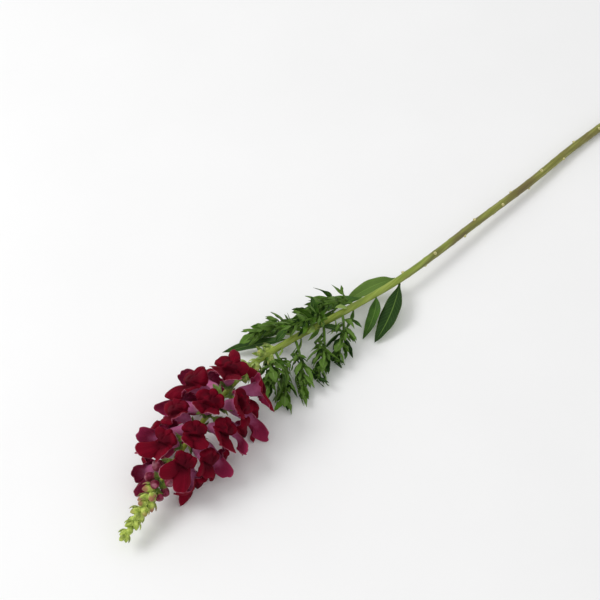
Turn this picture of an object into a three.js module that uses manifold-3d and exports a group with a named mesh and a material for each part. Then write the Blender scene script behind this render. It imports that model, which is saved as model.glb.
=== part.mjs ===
// One cut snapdragon stem (Antirrhinum majus), laid down on a table.
//
// Millimetres, +Z up, the table at z = 0. The stem runs along X: the tip of the flower spike is at
// the low end and the cut end at the high end. The origin is on the table, under the middle of the
// object's box. Distances along the stem, called `s`, are counted from the tip of the spike.
//
// Every shape is a skin stretched over rings of points. What grows on the stalk in small repeats
// (green buds, calyxes, bracts, leaf scars) is fused to it. Each open flower, coloured bud, large
// leaf and leafy side shoot is a solid of its own, a hair's breadth clear of the others.
import * as THREE from "three";
import { mergeVertices } from "three/addons/utils/BufferGeometryUtils.js";
import Module from "manifold-3d";

const wasm = await Module();
wasm.setup();

// ---------------------------------------------------------------- driving dimensions

// The stalk's centre line over the table, from the tip of the spike to the cut end.
const SPINE = [
  [0, 0, 17],
  [33, 7.5, 23],
  [70, 15.5, 29],
  [119, 27, 32],
  [193, 40, 31],
  [250, 36, 27],
  [310, 25, 23],
  [380, 14, 19],
  [440, 10, 16],
  [500, 8, 13.5],
  [586, 4, 10],
  [668, 3, 6.8],
  [764, -3, 4.1],
];
const MIDDLE = [378.5, 30.3]; // the middle of the object's box, in the spine's own X and Y
// Stalk radius at distances s from the tip.
const STALK_RADIUS = [
  [0, 0.9],
  [60, 1.6],
  [100, 2.2],
  [200, 2.9],
  [390, 3.6],
  [770, 4.2],
];
const STALK_SIDES = 8;
const STALK_STEP = 18;

// Petals and leaves flatten towards the table, and towards the walls where they meet a neighbour.
// SOFTNESS is how far before a wall they begin to bend.
const SOFTNESS = { blade: 3, petal: 7 };
const TABLE_GAP = 1.3;
const FLAT_DEPTH = 0.35; // of the small flats on which the lowest flowers carry the spike
const CLEARANCE = 0.35; // between two solids that touch on the real plant

// The open flowers, from the lowest on the spike to the youngest.
const FLOWER_COUNT = 20;
const FLOWER_FIRST = 168;
const FLOWER_STEP = 4.45;
const FLOWER_LEAN = 20; // degrees towards the tip of the spike
const MOST_LEAN = 0.5; // sine of the most that a flower leans towards the tip
const FLOWER_YOUNGEST_SIZE = 0.8; // the youngest flower against the oldest
const FLOWER_REACH = 44; // from the stalk's centre line to the middle of the face
const FLOWER_ROOM = 18.5; // radius that a flower's face keeps to itself
const FLOWER_FLOOR = 13; // lowest height of the middle of a face
const NEAR = 66; // between the faces of flowers that may touch
const SETTLE_ROUNDS = 160;
const DRIFT = 0.3; // in each round: the spike lay against others, so its flowers lean over to -Y
const GOLDEN_ANGLE = 137.508;
const FLOWER_TURN = 20; // degrees from straight up to the first flower
const FLOWER_ROLL = 30; // degrees that a flower may be turned about its own tube

// One flower, at full size.
const PEDICEL = 5.5;
const TUBE = { length: 28, base: 2.6, foot: 3.2, belly: 5.4, mouth: 7.2, pouch: 1.5 };
const PETAL = 0.9; // thickness
const LIPS = {
  upper: { length: 28, start: 2, end: 100 },
  lower: { length: 23, start: 34, end: 172 },
}; // the sheet's way at the mouth and at the lip's end: 0 is forward, 90 outward, 180 back
const LOBES = [
  { centre: 34, half: 38, share: 1, lip: "upper" },
  { centre: 131, half: 34, share: 1, lip: "lower" },
  { centre: 180, half: 24, share: 0.8, lip: "lower" },
  { centre: -131, half: 34, share: 1, lip: "lower" },
  { centre: -34, half: 38, share: 1, lip: "upper" },
];
const CLEFT = 4; // length of the sheet at the sides, between upper and lower lip
const WEB = 11; // length of the sheet between two lobes of one lip
const ROLL = 0.6; // how far the notches roll back with the lobes, from 0 to 1
const CURL_EASE = 1.7; // above 1, most of the curl is near the mouth
const CURL_STEPS = 16; // of the sum that follows the curl
const FAN = 0.6; // how much a lobe widens on its way out, against a full fan
const CROWN = 6.4; // how far a lobe's sides roll back
const HABITS = { curl: 34, tilt: 4, swing: 12 }; // what each petal may have of its own
const RUFFLE = 1.1;
const NORMAL_SPAN = { angle: 14, share: 0.12 }; // either side, where the sheet's normal is measured
const PALATE = { roof: 2.4, cushion: 6, centre: 4 }; // how far the throat stands out of the mouth
const FLOWER_AZIMUTHS = 20; // every 18 degrees, so that each lobe, notch and cleft has its own

// Cup round a flower's base, and round a coloured bud's at its own size.
const CALYX = { sepals: 5, length: 7.2, valley: 2.4, radius: 3.8, flare: 6.9 };

// Coloured buds, then the green ones up to the tip.
const BUD_COUNT = 9;
const BUD_FIRST = 77;
const BUD_STEP = 3.1;
const BUD_LENGTH = [11, 17];
const BUD_WIDTH = 0.62; // of its length
const BUD_PEDICEL = 3.5;
const GREEN_COUNT = 19;
const GREEN_FIRST = 50;
const GREEN_LENGTH = [8.5, 13.5];
const GREEN_WIDTH = 0.56; // of its length
const GREEN_LEAN = [62, 40]; // degrees, at the tip and at the coloured buds

const deg = Math.PI / 180;
const V = (x, y, z) => new THREE.Vector3(x, y, z);
const mix = (a, b, t) => a + (b - a) * t;
const smooth = THREE.MathUtils.smoothstep;
// An even scatter from -1 to 1.
function scatter(k) {
  const x = Math.sin(k * 12.9898) * 43758.5453;
  return 2 * (x - Math.floor(x)) - 1;
}

// ---------------------------------------------------------------- skins and solids

// A closed geometry over rings of equally many points; the first and last ring are single points.
// `crossed(j, k)` picks the other diagonal of a quad, so that both faces of a blade fold alike.
function skin(rings, crossed = () => false) {
  const points = [];
  const first = rings.map((ring) => {
    const at = points.length / 3;
    ring.forEach((p) => points.push(p.x, p.y, p.z));
    return at;
  });
  const faces = [];
  for (let j = 0; j + 1 < rings.length; j++) {
    const low = rings[j].length;
    const high = rings[j + 1].length;
    for (let k = 0; k < Math.max(low, high); k++) {
      const a = first[j] + (k % low);
      const b = first[j] + ((k + 1) % low);
      const c = first[j + 1] + ((k + 1) % high);
      const d = first[j + 1] + (k % high);
      if (low === 1) faces.push([a, c, d]);
      else if (high === 1) faces.push([a, b, c]);
      else if (crossed(j, k)) faces.push([a, b, d], [b, c, d]);
      else faces.push([a, b, c], [a, c, d]);
    }
  }
  if (signedVolume(points, faces) < 0) faces.forEach((face) => face.reverse());
  return new THREE.BufferGeometry()
    .setAttribute("position", new THREE.Float32BufferAttribute(points, 3))
    .setIndex(faces.flat());
}

function signedVolume(points, faces) {
  const at = (i) => V(points[3 * i], points[3 * i + 1], points[3 * i + 2]);
  return faces.reduce((sum, [a, b, c]) => sum + at(a).dot(at(b).cross(at(c))), 0);
}

function solidOf(geometry) {
  const merged = mergeVertices(geometry, 1e-4);
  return new wasm.Manifold(
    new wasm.Mesh({
      numProp: 3,
      vertProperties: new Float32Array(merged.attributes.position.array),
      triVerts: new Uint32Array(merged.index.array),
    }),
  );
}

function geometryOf(solid) {
  const { vertProperties, triVerts } = solid.getMesh();
  return new THREE.BufferGeometry()
    .setAttribute("position", new THREE.BufferAttribute(vertProperties, 3))
    .setIndex(new THREE.BufferAttribute(triVerts, 1));
}

const fused = (geometries) => geometryOf(wasm.Manifold.union(geometries.map(solidOf)));

function lowest(geometry) {
  geometry.computeBoundingBox();
  return geometry.boundingBox.min.z;
}

// What lies lower than the table is pressed off flat.
function restedOnTable(geometry) {
  if (lowest(geometry) >= 0) return geometry;
  const { min, max } = geometry.boundingBox;
  const slab = new THREE.BoxGeometry(max.x - min.x + 2, max.y - min.y + 2, 20);
  slab.deleteAttribute("normal");
  slab.deleteAttribute("uv");
  slab.translate((min.x + max.x) / 2, (min.y + max.y) / 2, -10);
  return geometryOf(solidOf(geometry).subtract(solidOf(slab)));
}

// A wall is the plane through `offset` along its `normal`, and a point is to stay in front of it.
const TABLE = { normal: V(0, 0, 1), offset: TABLE_GAP };

// The wall half way between two growing things at points a and b, in front of a.
function wallBetween(a, b, gap) {
  const normal = a.clone().sub(b).normalize();
  return { normal, offset: normal.dot(a.clone().add(b)) / 2 + gap };
}

// Bends a point off the walls: the nearer it comes, the more it gives way.
function pressed(p, walls, softness) {
  for (const { normal, offset } of walls) {
    const distance = normal.dot(p) - offset;
    if (distance >= softness) continue;
    p.addScaledVector(normal, softness * Math.exp(distance / softness - 1) - distance);
  }
  return p;
}

// ---------------------------------------------------------------- the stalk's line

const spine = new THREE.CatmullRomCurve3(SPINE.map((p) => V(...p)), false, "catmullrom", 0.5);
const STEM_LENGTH = spine.getLength();

// The point at distance s from the tip, with axes: tipward along the stalk, side, and up.
function along(s) {
  const u = Math.min(Math.max(s / STEM_LENGTH, 0), 1);
  const tipward = spine.getTangentAt(u).negate();
  const side = tipward.clone().cross(V(0, 0, 1)).normalize();
  const up = side.clone().cross(tipward);
  return { point: spine.getPointAt(u), tipward, side, up };
}

function lookUp(rows, x) {
  const i = rows.findIndex((row) => row[0] >= x);
  if (i === 0) return rows[0][1];
  if (i < 0) return rows.at(-1)[1];
  const [x0, y0] = rows[i - 1];
  const [x1, y1] = rows[i];
  return mix(y0, y1, (x - x0) / (x1 - x0));
}

const stalkRadius = (s) => lookUp(STALK_RADIUS, s);

// Unit vector out of the stalk, `turn` degrees from straight up and `lean` towards the tip.
function outward(frame, turn, lean = 0) {
  return V(0, 0, 0)
    .addScaledVector(frame.up, Math.cos(turn * deg) * Math.cos(lean * deg))
    .addScaledVector(frame.side, Math.sin(turn * deg) * Math.cos(lean * deg))
    .addScaledVector(frame.tipward, Math.sin(lean * deg));
}

// Axes of what grows from `root` along `out`, with its upper side turned to the tip of the spike,
// or `roll` degrees past that.
function growthAxes(root, out, tipward, roll = 0) {
  const tipmost = tipward.clone().addScaledVector(out, -tipward.dot(out)).normalize();
  const across = tipmost.clone().cross(out);
  const up = tipmost.multiplyScalar(Math.cos(roll * deg)).addScaledVector(across, Math.sin(roll * deg));
  return { root, out, up, right: up.clone().cross(out) };
}

const inAxes = (axes, x, y, z) =>
  axes.root.clone().addScaledVector(axes.right, x).addScaledVector(axes.up, y).addScaledVector(axes.out, z);

// ---------------------------------------------------------------- flowers

// Each flower's face is a ball on a tether: the balls push each other apart and off the table,
// as the flowers of a laid-down spike do.
function settledFlowers() {
  const flowers = Array.from({ length: FLOWER_COUNT }, (_, i) => {
    const s = FLOWER_FIRST - i * FLOWER_STEP;
    const frame = along(s);
    const size = mix(1, FLOWER_YOUNGEST_SIZE, i / (FLOWER_COUNT - 1));
    const out = outward(frame, FLOWER_TURN + GOLDEN_ANGLE * i, FLOWER_LEAN + 4 * scatter(i + 7));
    const face = frame.point.clone().addScaledVector(out, FLOWER_REACH * size);
    return { s, frame, size, out, face };
  });
  for (let round = 0; round < SETTLE_ROUNDS; round++) {
    for (const a of flowers)
      for (const b of flowers) {
        if (a === b) continue;
        const gap = a.face.clone().sub(b.face);
        const overlap = FLOWER_ROOM * (a.size + b.size) - gap.length();
        if (overlap <= 0) continue;
        gap.setLength(overlap / 4);
        a.face.add(gap);
        b.face.sub(gap);
      }
    for (const flower of flowers) {
      flower.face.y -= DRIFT;
      flower.face.z = Math.max(flower.face.z, FLOWER_FLOOR);
      flower.out = flower.face.clone().sub(flower.frame.point).normalize();
      const lean = flower.out.dot(flower.frame.tipward);
      flower.out.addScaledVector(flower.frame.tipward, Math.min(lean, MOST_LEAN) - lean).normalize();
      flower.face = flower.frame.point.clone().addScaledVector(flower.out, FLOWER_REACH * flower.size);
    }
  }
  return flowers.map((flower, number) => {
    const foot = stalkRadius(flower.s) + PEDICEL * flower.size;
    const root = flower.frame.point.clone().addScaledVector(flower.out, foot);
    const walls = flowers
      .filter((other) => other !== flower && other.face.distanceTo(flower.face) < NEAR)
      .map((other) => wallBetween(flower.face, other.face, PETAL + CLEARANCE / 2));
    walls.push(TABLE);
    const axes = growthAxes(root, flower.out, flower.frame.tipward, FLOWER_ROLL * scatter(number + 50));
    return { ...flower, number, walls, axes };
  });
}

// Share of the lower lip at an angle from straight up: 0 on the upper lip, 1 on the lower.
const LIP_BLEND = 0.34;
const lowerShare = (angle) => smooth(-Math.cos(angle * deg), -LIP_BLEND, LIP_BLEND);

// The lobe at an angle from straight up: how far its sheet reaches, how much of that is web, and
// where across the lobe the angle is, from -1 to 1. Between two lobes there is only the web.
function lobeAt(angle) {
  const web = mix(CLEFT, WEB, Math.abs(Math.cos(angle * deg)));
  const found = { reach: web, web, which: 0, across: 1, aside: 0 };
  LOBES.forEach(({ centre, half, share, lip }, which) => {
    const aside = THREE.MathUtils.euclideanModulo(angle - centre + 180, 360) - 180;
    const across = aside / half;
    const reach = share * LIPS[lip].length * Math.sqrt(1 - Math.min(Math.abs(across), 1) ** 3);
    if (reach > found.reach) Object.assign(found, { reach, which, across, aside });
  });
  return found;
}

// Point of a flower's petal sheet, `share` of the way out of the mouth: its radius, height and
// angle. The lobes curl back, narrow from a full fan to tongues, and roll their sides back. Their
// own habits fade towards their sides, where each joins its neighbours.
function sheet(angle, share, number) {
  const low = lowerShare(angle);
  const lip = (key) => mix(LIPS.upper[key], LIPS.lower[key], low);
  const { reach, web, which, across, aside } = lobeAt(angle);
  const habit = (key, k) => HABITS[key] * scatter(number * 7 + which + 41 * k) * (1 - across ** 4);
  const start = lip("start");
  const turn = (lip("end") - start + habit("curl", 0)) * mix(reach / lip("length"), 1, 1 - ROLL);
  const way = (part) => (start + turn * (1 - Math.max(1 - part, 0) ** CURL_EASE)) * deg;
  let radius = TUBE.mouth;
  let height = TUBE.length;
  for (let step = 0; step < CURL_STEPS; step++) {
    const here = way((share * (step + 0.5)) / CURL_STEPS);
    radius += (Math.sin(here) * reach * share) / CURL_STEPS;
    height += (Math.cos(here) * reach * share) / CURL_STEPS;
  }
  const tilt = habit("tilt", 1) * across * share ** 1.5;
  const crown = CROWN * Math.abs(across) ** 2.2 * share ** 1.2;
  const ruffle = RUFFLE * share ** 2 * Math.sin(8 * (angle + 31 * number) * deg);
  const offset = tilt - crown + ruffle;
  const beyond = Math.max(share * reach - web, 0);
  const wide = TUBE.mouth + web;
  const narrowed = aside * ((wide + FAN * beyond) / (wide + beyond) - 1);
  return [
    angle + narrowed + habit("swing", 2) * share ** 2,
    radius - offset * Math.cos(way(share)),
    height + offset * Math.sin(way(share)),
  ];
}

// The corolla as one closed sheet: up the outside of the tube, over the rim of the lobes, and back
// over their fronts to the swollen throat. `droop` lowers the face and leaves the base.
function corolla({ number, size, axes, walls }, droop = 0) {
  const ring = (shape) =>
    Array.from({ length: FLOWER_AZIMUTHS }, (_, k) => {
      const angle = (360 / FLOWER_AZIMUTHS) * k;
      return shape(angle > 180 ? angle - 360 : angle);
    });
  const place = (angle, radius, height, drop = 0) => {
    const x = radius * Math.sin(angle * deg);
    const y = radius * Math.cos(angle * deg) - drop;
    const p = inAxes(axes, x * size, y * size, height * size);
    if (height >= TUBE.length * 0.5) pressed(p, walls, SOFTNESS.petal);
    p.z += droop * Math.min(height / TUBE.length, 1);
    return p;
  };
  const surface = (angle, share) => place(...sheet(angle, share, number));
  // The sheet's point lifted off its back towards its front.
  const petal = (share, lift) => (angle) => {
    const across = surface(angle + NORMAL_SPAN.angle, share).sub(surface(angle - NORMAL_SPAN.angle, share));
    const outwards = surface(angle, share + NORMAL_SPAN.share).sub(surface(angle, share - NORMAL_SPAN.share));
    return surface(angle, share).addScaledVector(across.cross(outwards).normalize(), lift);
  };
  const throat = (angle) => TUBE.length + mix(PALATE.roof, PALATE.cushion, lowerShare(angle));
  const rings = [
    [inAxes(axes, 0, 0, 0)],
    ring((angle) => place(angle, TUBE.base, TUBE.foot)),
    ring((angle) => place(angle, TUBE.belly, TUBE.length * 0.4, TUBE.pouch)),
    ...[0, 0.35, 0.7].map((share) => ring((angle) => surface(angle, share))),
    ring(petal(1, PETAL / 2)),
    ...[0.7, 0.35].map((share) => ring(petal(share, PETAL))),
    ring((angle) => place(angle, TUBE.mouth * 0.6, throat(angle))),
    [place(0, 0, TUBE.length + PALATE.centre)],
  ];
  // The diagonals mirror each other left and right, and on the two sides of the sheet.
  const rim = 6;
  return skin(rings, (j, k) => j >= rim !== k < FLOWER_AZIMUTHS / 2);
}

// A flower that hangs low droops until it rests on the table.
function carrying(flower) {
  const low = lowest(corolla(flower));
  const rests = flower.face.z < FLOWER_FLOOR + 1;
  return restedOnTable(corolla(flower, rests ? -FLAT_DEPTH - low : 0));
}

// Pedicel and five-pointed cup. The pedicel's root is sunk into the middle of the stalk.
function calyx({ frame, axes, size }) {
  const azimuths = CALYX.sepals * 2;
  const ring = (shape) =>
    Array.from({ length: azimuths }, (_, k) => {
      const angle = (360 / azimuths) * k * deg;
      const [radius, height] = shape(k % 2 === 0);
      return inAxes(axes, radius * Math.sin(angle), radius * Math.cos(angle), height * size);
    });
  return skin([
    [frame.point.clone()],
    ring(() => [1.6, -2]),
    ring((tip) => (tip ? [CALYX.flare * size, CALYX.length] : [CALYX.radius * size, CALYX.valley])),
    [inAxes(axes, 0, 0, -CLEARANCE * 1.4)],
  ]);
}

// ---------------------------------------------------------------- buds

// An egg that stands on its root: `girth` rows are [share of the length, share of the width].
function egg(axes, length, width, girth, sides) {
  const rings = girth.map(([height, radius]) =>
    Array.from({ length: sides }, (_, k) => {
      const angle = (360 / sides) * (k + 0.5) * deg;
      const r = (radius * width) / 2;
      return inAxes(axes, r * Math.sin(angle), r * Math.cos(angle), height * length);
    }),
  );
  return skin([[axes.root], ...rings, [inAxes(axes, 0, 0, length)]]);
}

const BUD_GIRTH = [
  [0.16, 0.38],
  [0.4, 0.8],
  [0.68, 1],
  [0.9, 0.72],
];
const GREEN_GIRTH = [
  [0.12, 0.7],
  [0.5, 1],
  [0.85, 0.75],
];

function colouredBuds() {
  return Array.from({ length: BUD_COUNT }, (_, i) => {
    const youth = i / (BUD_COUNT - 1);
    const s = BUD_FIRST - i * BUD_STEP;
    const frame = along(s);
    const out = outward(frame, FLOWER_TURN + GOLDEN_ANGLE * (FLOWER_COUNT + i), mix(30, 44, youth));
    const size = mix(0.86, 0.6, youth);
    const root = frame.point.clone().addScaledVector(out, stalkRadius(s) + BUD_PEDICEL * size);
    const length = mix(BUD_LENGTH[1], BUD_LENGTH[0], youth);
    return { frame, size, length, axes: growthAxes(root, out, frame.tipward) };
  });
}

function greenBuds() {
  return Array.from({ length: GREEN_COUNT }, (_, i) => {
    const youth = i / (GREEN_COUNT - 1);
    const s = GREEN_FIRST * (1 - youth) + 1;
    const frame = along(s);
    const turn = FLOWER_TURN + GOLDEN_ANGLE * (FLOWER_COUNT + BUD_COUNT + i);
    const out = outward(frame, turn, mix(GREEN_LEAN[1], GREEN_LEAN[0], youth));
    const root = frame.point.clone().addScaledVector(out, stalkRadius(s) * 0.3);
    const length = mix(GREEN_LENGTH[1], GREEN_LENGTH[0], youth);
    return egg(growthAxes(root, out, frame.tipward), length, length * GREEN_WIDTH, GREEN_GIRTH, 5);
  });
}

// ---------------------------------------------------------------- blades

const LEAF_OUTLINE = [
  [0.06, 0.14],
  [0.2, 0.55],
  [0.4, 0.96],
  [0.6, 0.98],
  [0.8, 0.66],
  [0.93, 0.3],
];
const SMALL_OUTLINE = [
  [0.1, 0.35],
  [0.45, 1],
  [0.8, 0.6],
];
const THICK = 1; // of a blade at its midrib
const EDGE = 0.62;

// A leaf along a curved midrib. `face` is the way its upper side looks, `fold` the lift of its
// edges against the midrib, and `wave` the lift of one edge while the other sinks. A `fine` blade
// has knife edges, and another has edges of their own thickness.
function blade(shape) {
  const { root, bend, tip, face, width, outline } = shape;
  const { fine = false, fold = 0.25, wave = 0, walls = [TABLE] } = shape;
  const midrib = new THREE.QuadraticBezierCurve3(root, bend, tip);
  const held = (p, t) => p.clone().lerp(pressed(p.clone(), walls, SOFTNESS.blade), Math.min(2.5 * t, 1));
  const rings = outline.map(([t, share]) => {
    const right = midrib.getTangent(t).cross(face).normalize();
    const up = right.clone().cross(midrib.getTangent(t));
    const half = (share * width) / 2;
    const swing = wave * Math.sin(t * 3 * Math.PI) * share;
    const at = (x, z) => held(midrib.getPoint(t).addScaledVector(right, x).addScaledVector(up, z), t);
    const left = at(-half, fold * half + swing);
    const centre = at(0, 0);
    const rightEdge = at(half, fold * half - swing);
    const under = (p, depth) => p.clone().addScaledVector(up, -depth);
    if (fine) return [left, centre, rightEdge, under(centre, THICK)];
    return [left, centre, rightEdge, under(rightEdge, EDGE), under(centre, THICK), under(left, EDGE)];
  });
  const lowerHalf = fine ? 2 : 3;
  return skin([[root], ...rings, [held(tip, 1)]], (j, k) => k >= lowerHalf);
}

// ---------------------------------------------------------------- the stalk

function tube(points, radii, sides) {
  const curve = new THREE.CatmullRomCurve3(points);
  const rings = radii.map((radius, i) => {
    const t = i / (radii.length - 1);
    const tangent = curve.getTangentAt(t);
    const side = tangent.clone().cross(V(0, 0, 1)).normalize();
    const up = side.clone().cross(tangent);
    return Array.from({ length: sides }, (_, k) => {
      const angle = (360 / sides) * k * deg;
      return curve
        .getPointAt(t)
        .addScaledVector(up, radius * Math.cos(angle))
        .addScaledVector(side, radius * Math.sin(angle));
    });
  });
  return skin([[curve.getPointAt(0)], ...rings, [curve.getPointAt(1)]]);
}

function stalk() {
  const count = Math.round(STEM_LENGTH / STALK_STEP);
  const rings = Array.from({ length: count + 1 }, (_, i) => {
    const s = (STEM_LENGTH * i) / count;
    const frame = along(s);
    return Array.from({ length: STALK_SIDES }, (_, k) =>
      frame.point.clone().addScaledVector(outward(frame, (360 / STALK_SIDES) * k), stalkRadius(s)),
    );
  });
  return skin([[along(0).point], ...rings, [along(STEM_LENGTH).point]]);
}

// Scars where the lower leaves were stripped, each a small ledge under a dormant bud.
const SCARS = { first: 408, last: 748, step: 21, length: 3.2, width: 3.4 };

function leafScars() {
  const count = Math.floor((SCARS.last - SCARS.first) / SCARS.step) + 1;
  return Array.from({ length: count }, (_, i) => {
    const s = SCARS.first + i * SCARS.step + 4 * scatter(i);
    const frame = along(s);
    const out = outward(frame, 65 + GOLDEN_ANGLE * i, 38);
    const root = frame.point.clone().addScaledVector(out, stalkRadius(s) * 0.55);
    const axes = growthAxes(root, out, frame.tipward);
    return egg(axes, SCARS.length + stalkRadius(s) * 0.45, SCARS.width, [[0.55, 1]], 5);
  });
}

// Small leaves on the stalk, shorter towards the flowers, where they are the flowers' bracts. Right
// below the lowest flower stand the knobs of spent flowers.
const BRACTS = { first: 332, step: 8.1, count: 19 };
const BRACT_LENGTH = [
  [200, 10],
  [240, 13],
  [330, 25],
];
const BRACT_WIDTH = 0.3; // of its length
const KNOBS = { first: 238, step: 6.5, count: 8, length: 8.5, width: 6.6 };

function bracts() {
  return Array.from({ length: BRACTS.count }, (_, i) => {
    const s = BRACTS.first - i * BRACTS.step;
    const frame = along(s);
    const turn = 216 + GOLDEN_ANGLE * i;
    const length = lookUp(BRACT_LENGTH, s) * (1 + 0.15 * scatter(i + 60));
    const reach = (lean, distance) =>
      frame.point.clone().addScaledVector(outward(frame, turn, lean), distance);
    return blade({
      root: reach(0, stalkRadius(s) * 0.3),
      bend: reach(12, stalkRadius(s) + length * 0.45),
      tip: reach(46, stalkRadius(s) + length),
      face: frame.tipward,
      width: length * BRACT_WIDTH,
      outline: SMALL_OUTLINE,
      fine: true,
    });
  });
}

function knobs() {
  return Array.from({ length: KNOBS.count }, (_, i) => {
    const s = KNOBS.first - i * KNOBS.step;
    const frame = along(s);
    const out = outward(frame, 100 + GOLDEN_ANGLE * i, 42);
    const root = frame.point.clone().addScaledVector(out, stalkRadius(s) * 0.4);
    const length = KNOBS.length * (1 + 0.15 * scatter(i + 40)) + stalkRadius(s);
    return egg(growthAxes(root, out, frame.tipward), length, KNOBS.width, GREEN_GIRTH, 5);
  });
}

// ---------------------------------------------------------------- large leaves

// Where each leaf leaves the stalk, where its midrib bends and ends, and its width.
const LEAVES = [
  { s: 392, turn: 70, bend: [362, 30, 20], tip: [332, 39, 9], width: 15 },
  { s: 392, turn: -95, bend: [352, -8, 12], tip: [317, -13, 3], width: 18 },
  { s: 360, turn: -75, bend: [345, 6, 12], tip: [312, -2, 3], width: 12 },
  { s: 286, turn: -60, bend: [290, 18, 31], tip: [294, 4, 22], width: 7 },
  { s: 286, turn: 30, bend: [286, 36, 38], tip: [292, 48, 46], width: 8 },
  { s: 350, turn: 100, bend: [322, 50, 10], tip: [284, 66, 4], width: 15 },
  { s: 306, turn: 110, bend: [280, 62, 8], tip: [232, 80, 3], width: 14 },
  { s: 256, turn: 100, bend: [238, 66, 11], tip: [206, 86, 6], width: 11 },
];

function largeLeaf({ s, turn, bend, tip, width }) {
  const frame = along(s);
  const out = outward(frame, turn, 25);
  return blade({
    root: frame.point.clone().addScaledVector(out, stalkRadius(s) + CLEARANCE + 0.6),
    bend: V(...bend),
    tip: V(...tip),
    face: V(0, 0, 1).addScaledVector(out, -0.2),
    width,
    outline: LEAF_OUTLINE,
    fold: 0.22,
    wave: 0.8,
  });
}

// ---------------------------------------------------------------- leafy side shoots

// Where each shoot leaves the stalk, where it bends and where it ends. Some grow over large leaves,
// no lower than their floor.
const SHOOTS = [
  { s: 318, turn: -75, bend: [298, 6, 15], tip: [270, -3, 9] },
  { s: 295, turn: -80, bend: [270, 7, 13], tip: [243, -5, 8] },
  { s: 261, turn: -85, bend: [242, 9, 13], tip: [220, -5, 8] },
  { s: 302, turn: 5, bend: [276, 34, 43], tip: [248, 38, 46] },
  { s: 336, turn: 70, bend: [310, 42, 30], tip: [284, 50, 27], floor: 17 },
  { s: 282, turn: 75, bend: [260, 60, 27], tip: [232, 69, 25], floor: 17 },
  { s: 236, turn: -80, bend: [226, 16, 13], tip: [205, 4, 7] },
  { s: 224, turn: -60, bend: [216, 21, 22], tip: [198, 19, 19] },
];
const SHOOT_RADIUS = [1.4, 1.2, 1, 0.8];
const SHOOT_LEAF = { count: 8, length: 23, width: 8.5, open: 54 };

const shootMiddle = ({ bend, tip }) => V(...bend).add(V(...tip)).multiplyScalar(0.5);

// The walls that a shoot's leaves keep in front of: its neighbours, the stalk and the table.
function shootWalls(shoot) {
  const middle = shootMiddle(shoot);
  const walls = SHOOTS.filter((other) => other !== shoot).map((other) =>
    wallBetween(middle, shootMiddle(other), THICK + CLEARANCE / 2),
  );
  const stalkPoint = along(shoot.s - middle.distanceTo(along(shoot.s).point) * 0.8).point;
  const off = middle.clone().sub(stalkPoint).normalize();
  walls.push({ normal: off, offset: off.dot(stalkPoint) + stalkRadius(shoot.s) + THICK + CLEARANCE });
  walls.push(shoot.floor ? { normal: TABLE.normal, offset: shoot.floor } : TABLE);
  return walls;
}

function sideShoot(shoot) {
  const { s, turn, bend, tip } = shoot;
  const frame = along(s);
  const foot = stalkRadius(s) + CLEARANCE + SHOOT_RADIUS[0];
  const root = frame.point.clone().addScaledVector(outward(frame, turn, 30), foot);
  const axis = new THREE.QuadraticBezierCurve3(root, V(...bend), V(...tip));
  const points = SHOOT_RADIUS.map((_, i) => axis.getPoint(i / (SHOOT_RADIUS.length - 1)));
  const walls = shootWalls(shoot);
  const blades = Array.from({ length: SHOOT_LEAF.count }, (_, i) => {
    const t = mix(0.3, 1, i / (SHOOT_LEAF.count - 1));
    const tangent = axis.getTangent(t);
    const side = tangent.clone().cross(V(0, 0, 1)).normalize();
    const up = side.clone().cross(tangent);
    const spin = (s + GOLDEN_ANGLE * i) * deg;
    const radial = up.clone().multiplyScalar(Math.cos(spin)).addScaledVector(side, Math.sin(spin));
    const open = SHOOT_LEAF.open * mix(1, 0.5, t) * deg;
    const length = SHOOT_LEAF.length * mix(1.1, 0.75, t) * (1 + 0.15 * scatter(i + s));
    const reach = (angle, distance) =>
      axis
        .getPoint(t)
        .addScaledVector(tangent, Math.cos(angle) * distance)
        .addScaledVector(radial, Math.sin(angle) * distance);
    return blade({
      root: axis.getPoint(t).addScaledVector(tangent, -0.8),
      bend: reach(open * 1.5, length * 0.5),
      tip: reach(open, length),
      face: tangent,
      width: SHOOT_LEAF.width,
      outline: SMALL_OUTLINE,
      fine: true,
      walls,
    });
  });
  return fused([tube(points, SHOOT_RADIUS, 5), ...blades]);
}

// ---------------------------------------------------------------- the object

const object = new THREE.Group();
const finish = (color, roughness) => new THREE.MeshStandardMaterial({ color, roughness, metalness: 0 });
const FINISH = {
  stalk: finish(0x7d8c35, 0.55),
  petal: finish(0x6e0418, 0.7),
  bud: finish(0x7a3050, 0.6),
  leaf: finish(0x2f5a20, 0.55),
};

function add(name, geometry, material) {
  const mesh = new THREE.Mesh(geometry, material);
  mesh.name = name;
  mesh.position.set(-MIDDLE[0], -MIDDLE[1], 0);
  object.add(mesh);
}

const number = (i) => String(i + 1).padStart(2, "0");
const flowers = settledFlowers();
const buds = colouredBuds();
const greenery = [
  stalk(),
  ...[...flowers, ...buds].map(calyx),
  ...greenBuds(),
  ...bracts(),
  ...knobs(),
  ...leafScars(),
];

add("stalk", restedOnTable(fused(greenery)), FINISH.stalk);
flowers.forEach((flower, i) => add(`flower_${number(i)}`, carrying(flower), FINISH.petal));
buds.forEach(({ axes, length }, i) =>
  add(`bud_${number(i)}`, egg(axes, length, length * BUD_WIDTH, BUD_GIRTH, 8), FINISH.bud),
);
LEAVES.forEach((leaf, i) => add(`leaf_${number(i)}`, largeLeaf(leaf), FINISH.leaf));
SHOOTS.forEach((shoot, i) => add(`side_shoot_${number(i)}`, sideShoot(shoot), FINISH.leaf));

export default object;
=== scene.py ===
# %% [markdown]
# # Dressing a cut snapdragon stem
#
# A cut snapdragon is one long green stalk. At its end a spike of flowers opens from below: the
# oldest flowers stand lowest, then come coloured buds, then green ones up to the tip. The solids of
# the stem are already packed, so this lesson makes the finer pieces that stand for them: thin
# ruffled petals, calyxes with real sepals, veined leaves, and finishes built from shader nodes.

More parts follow.
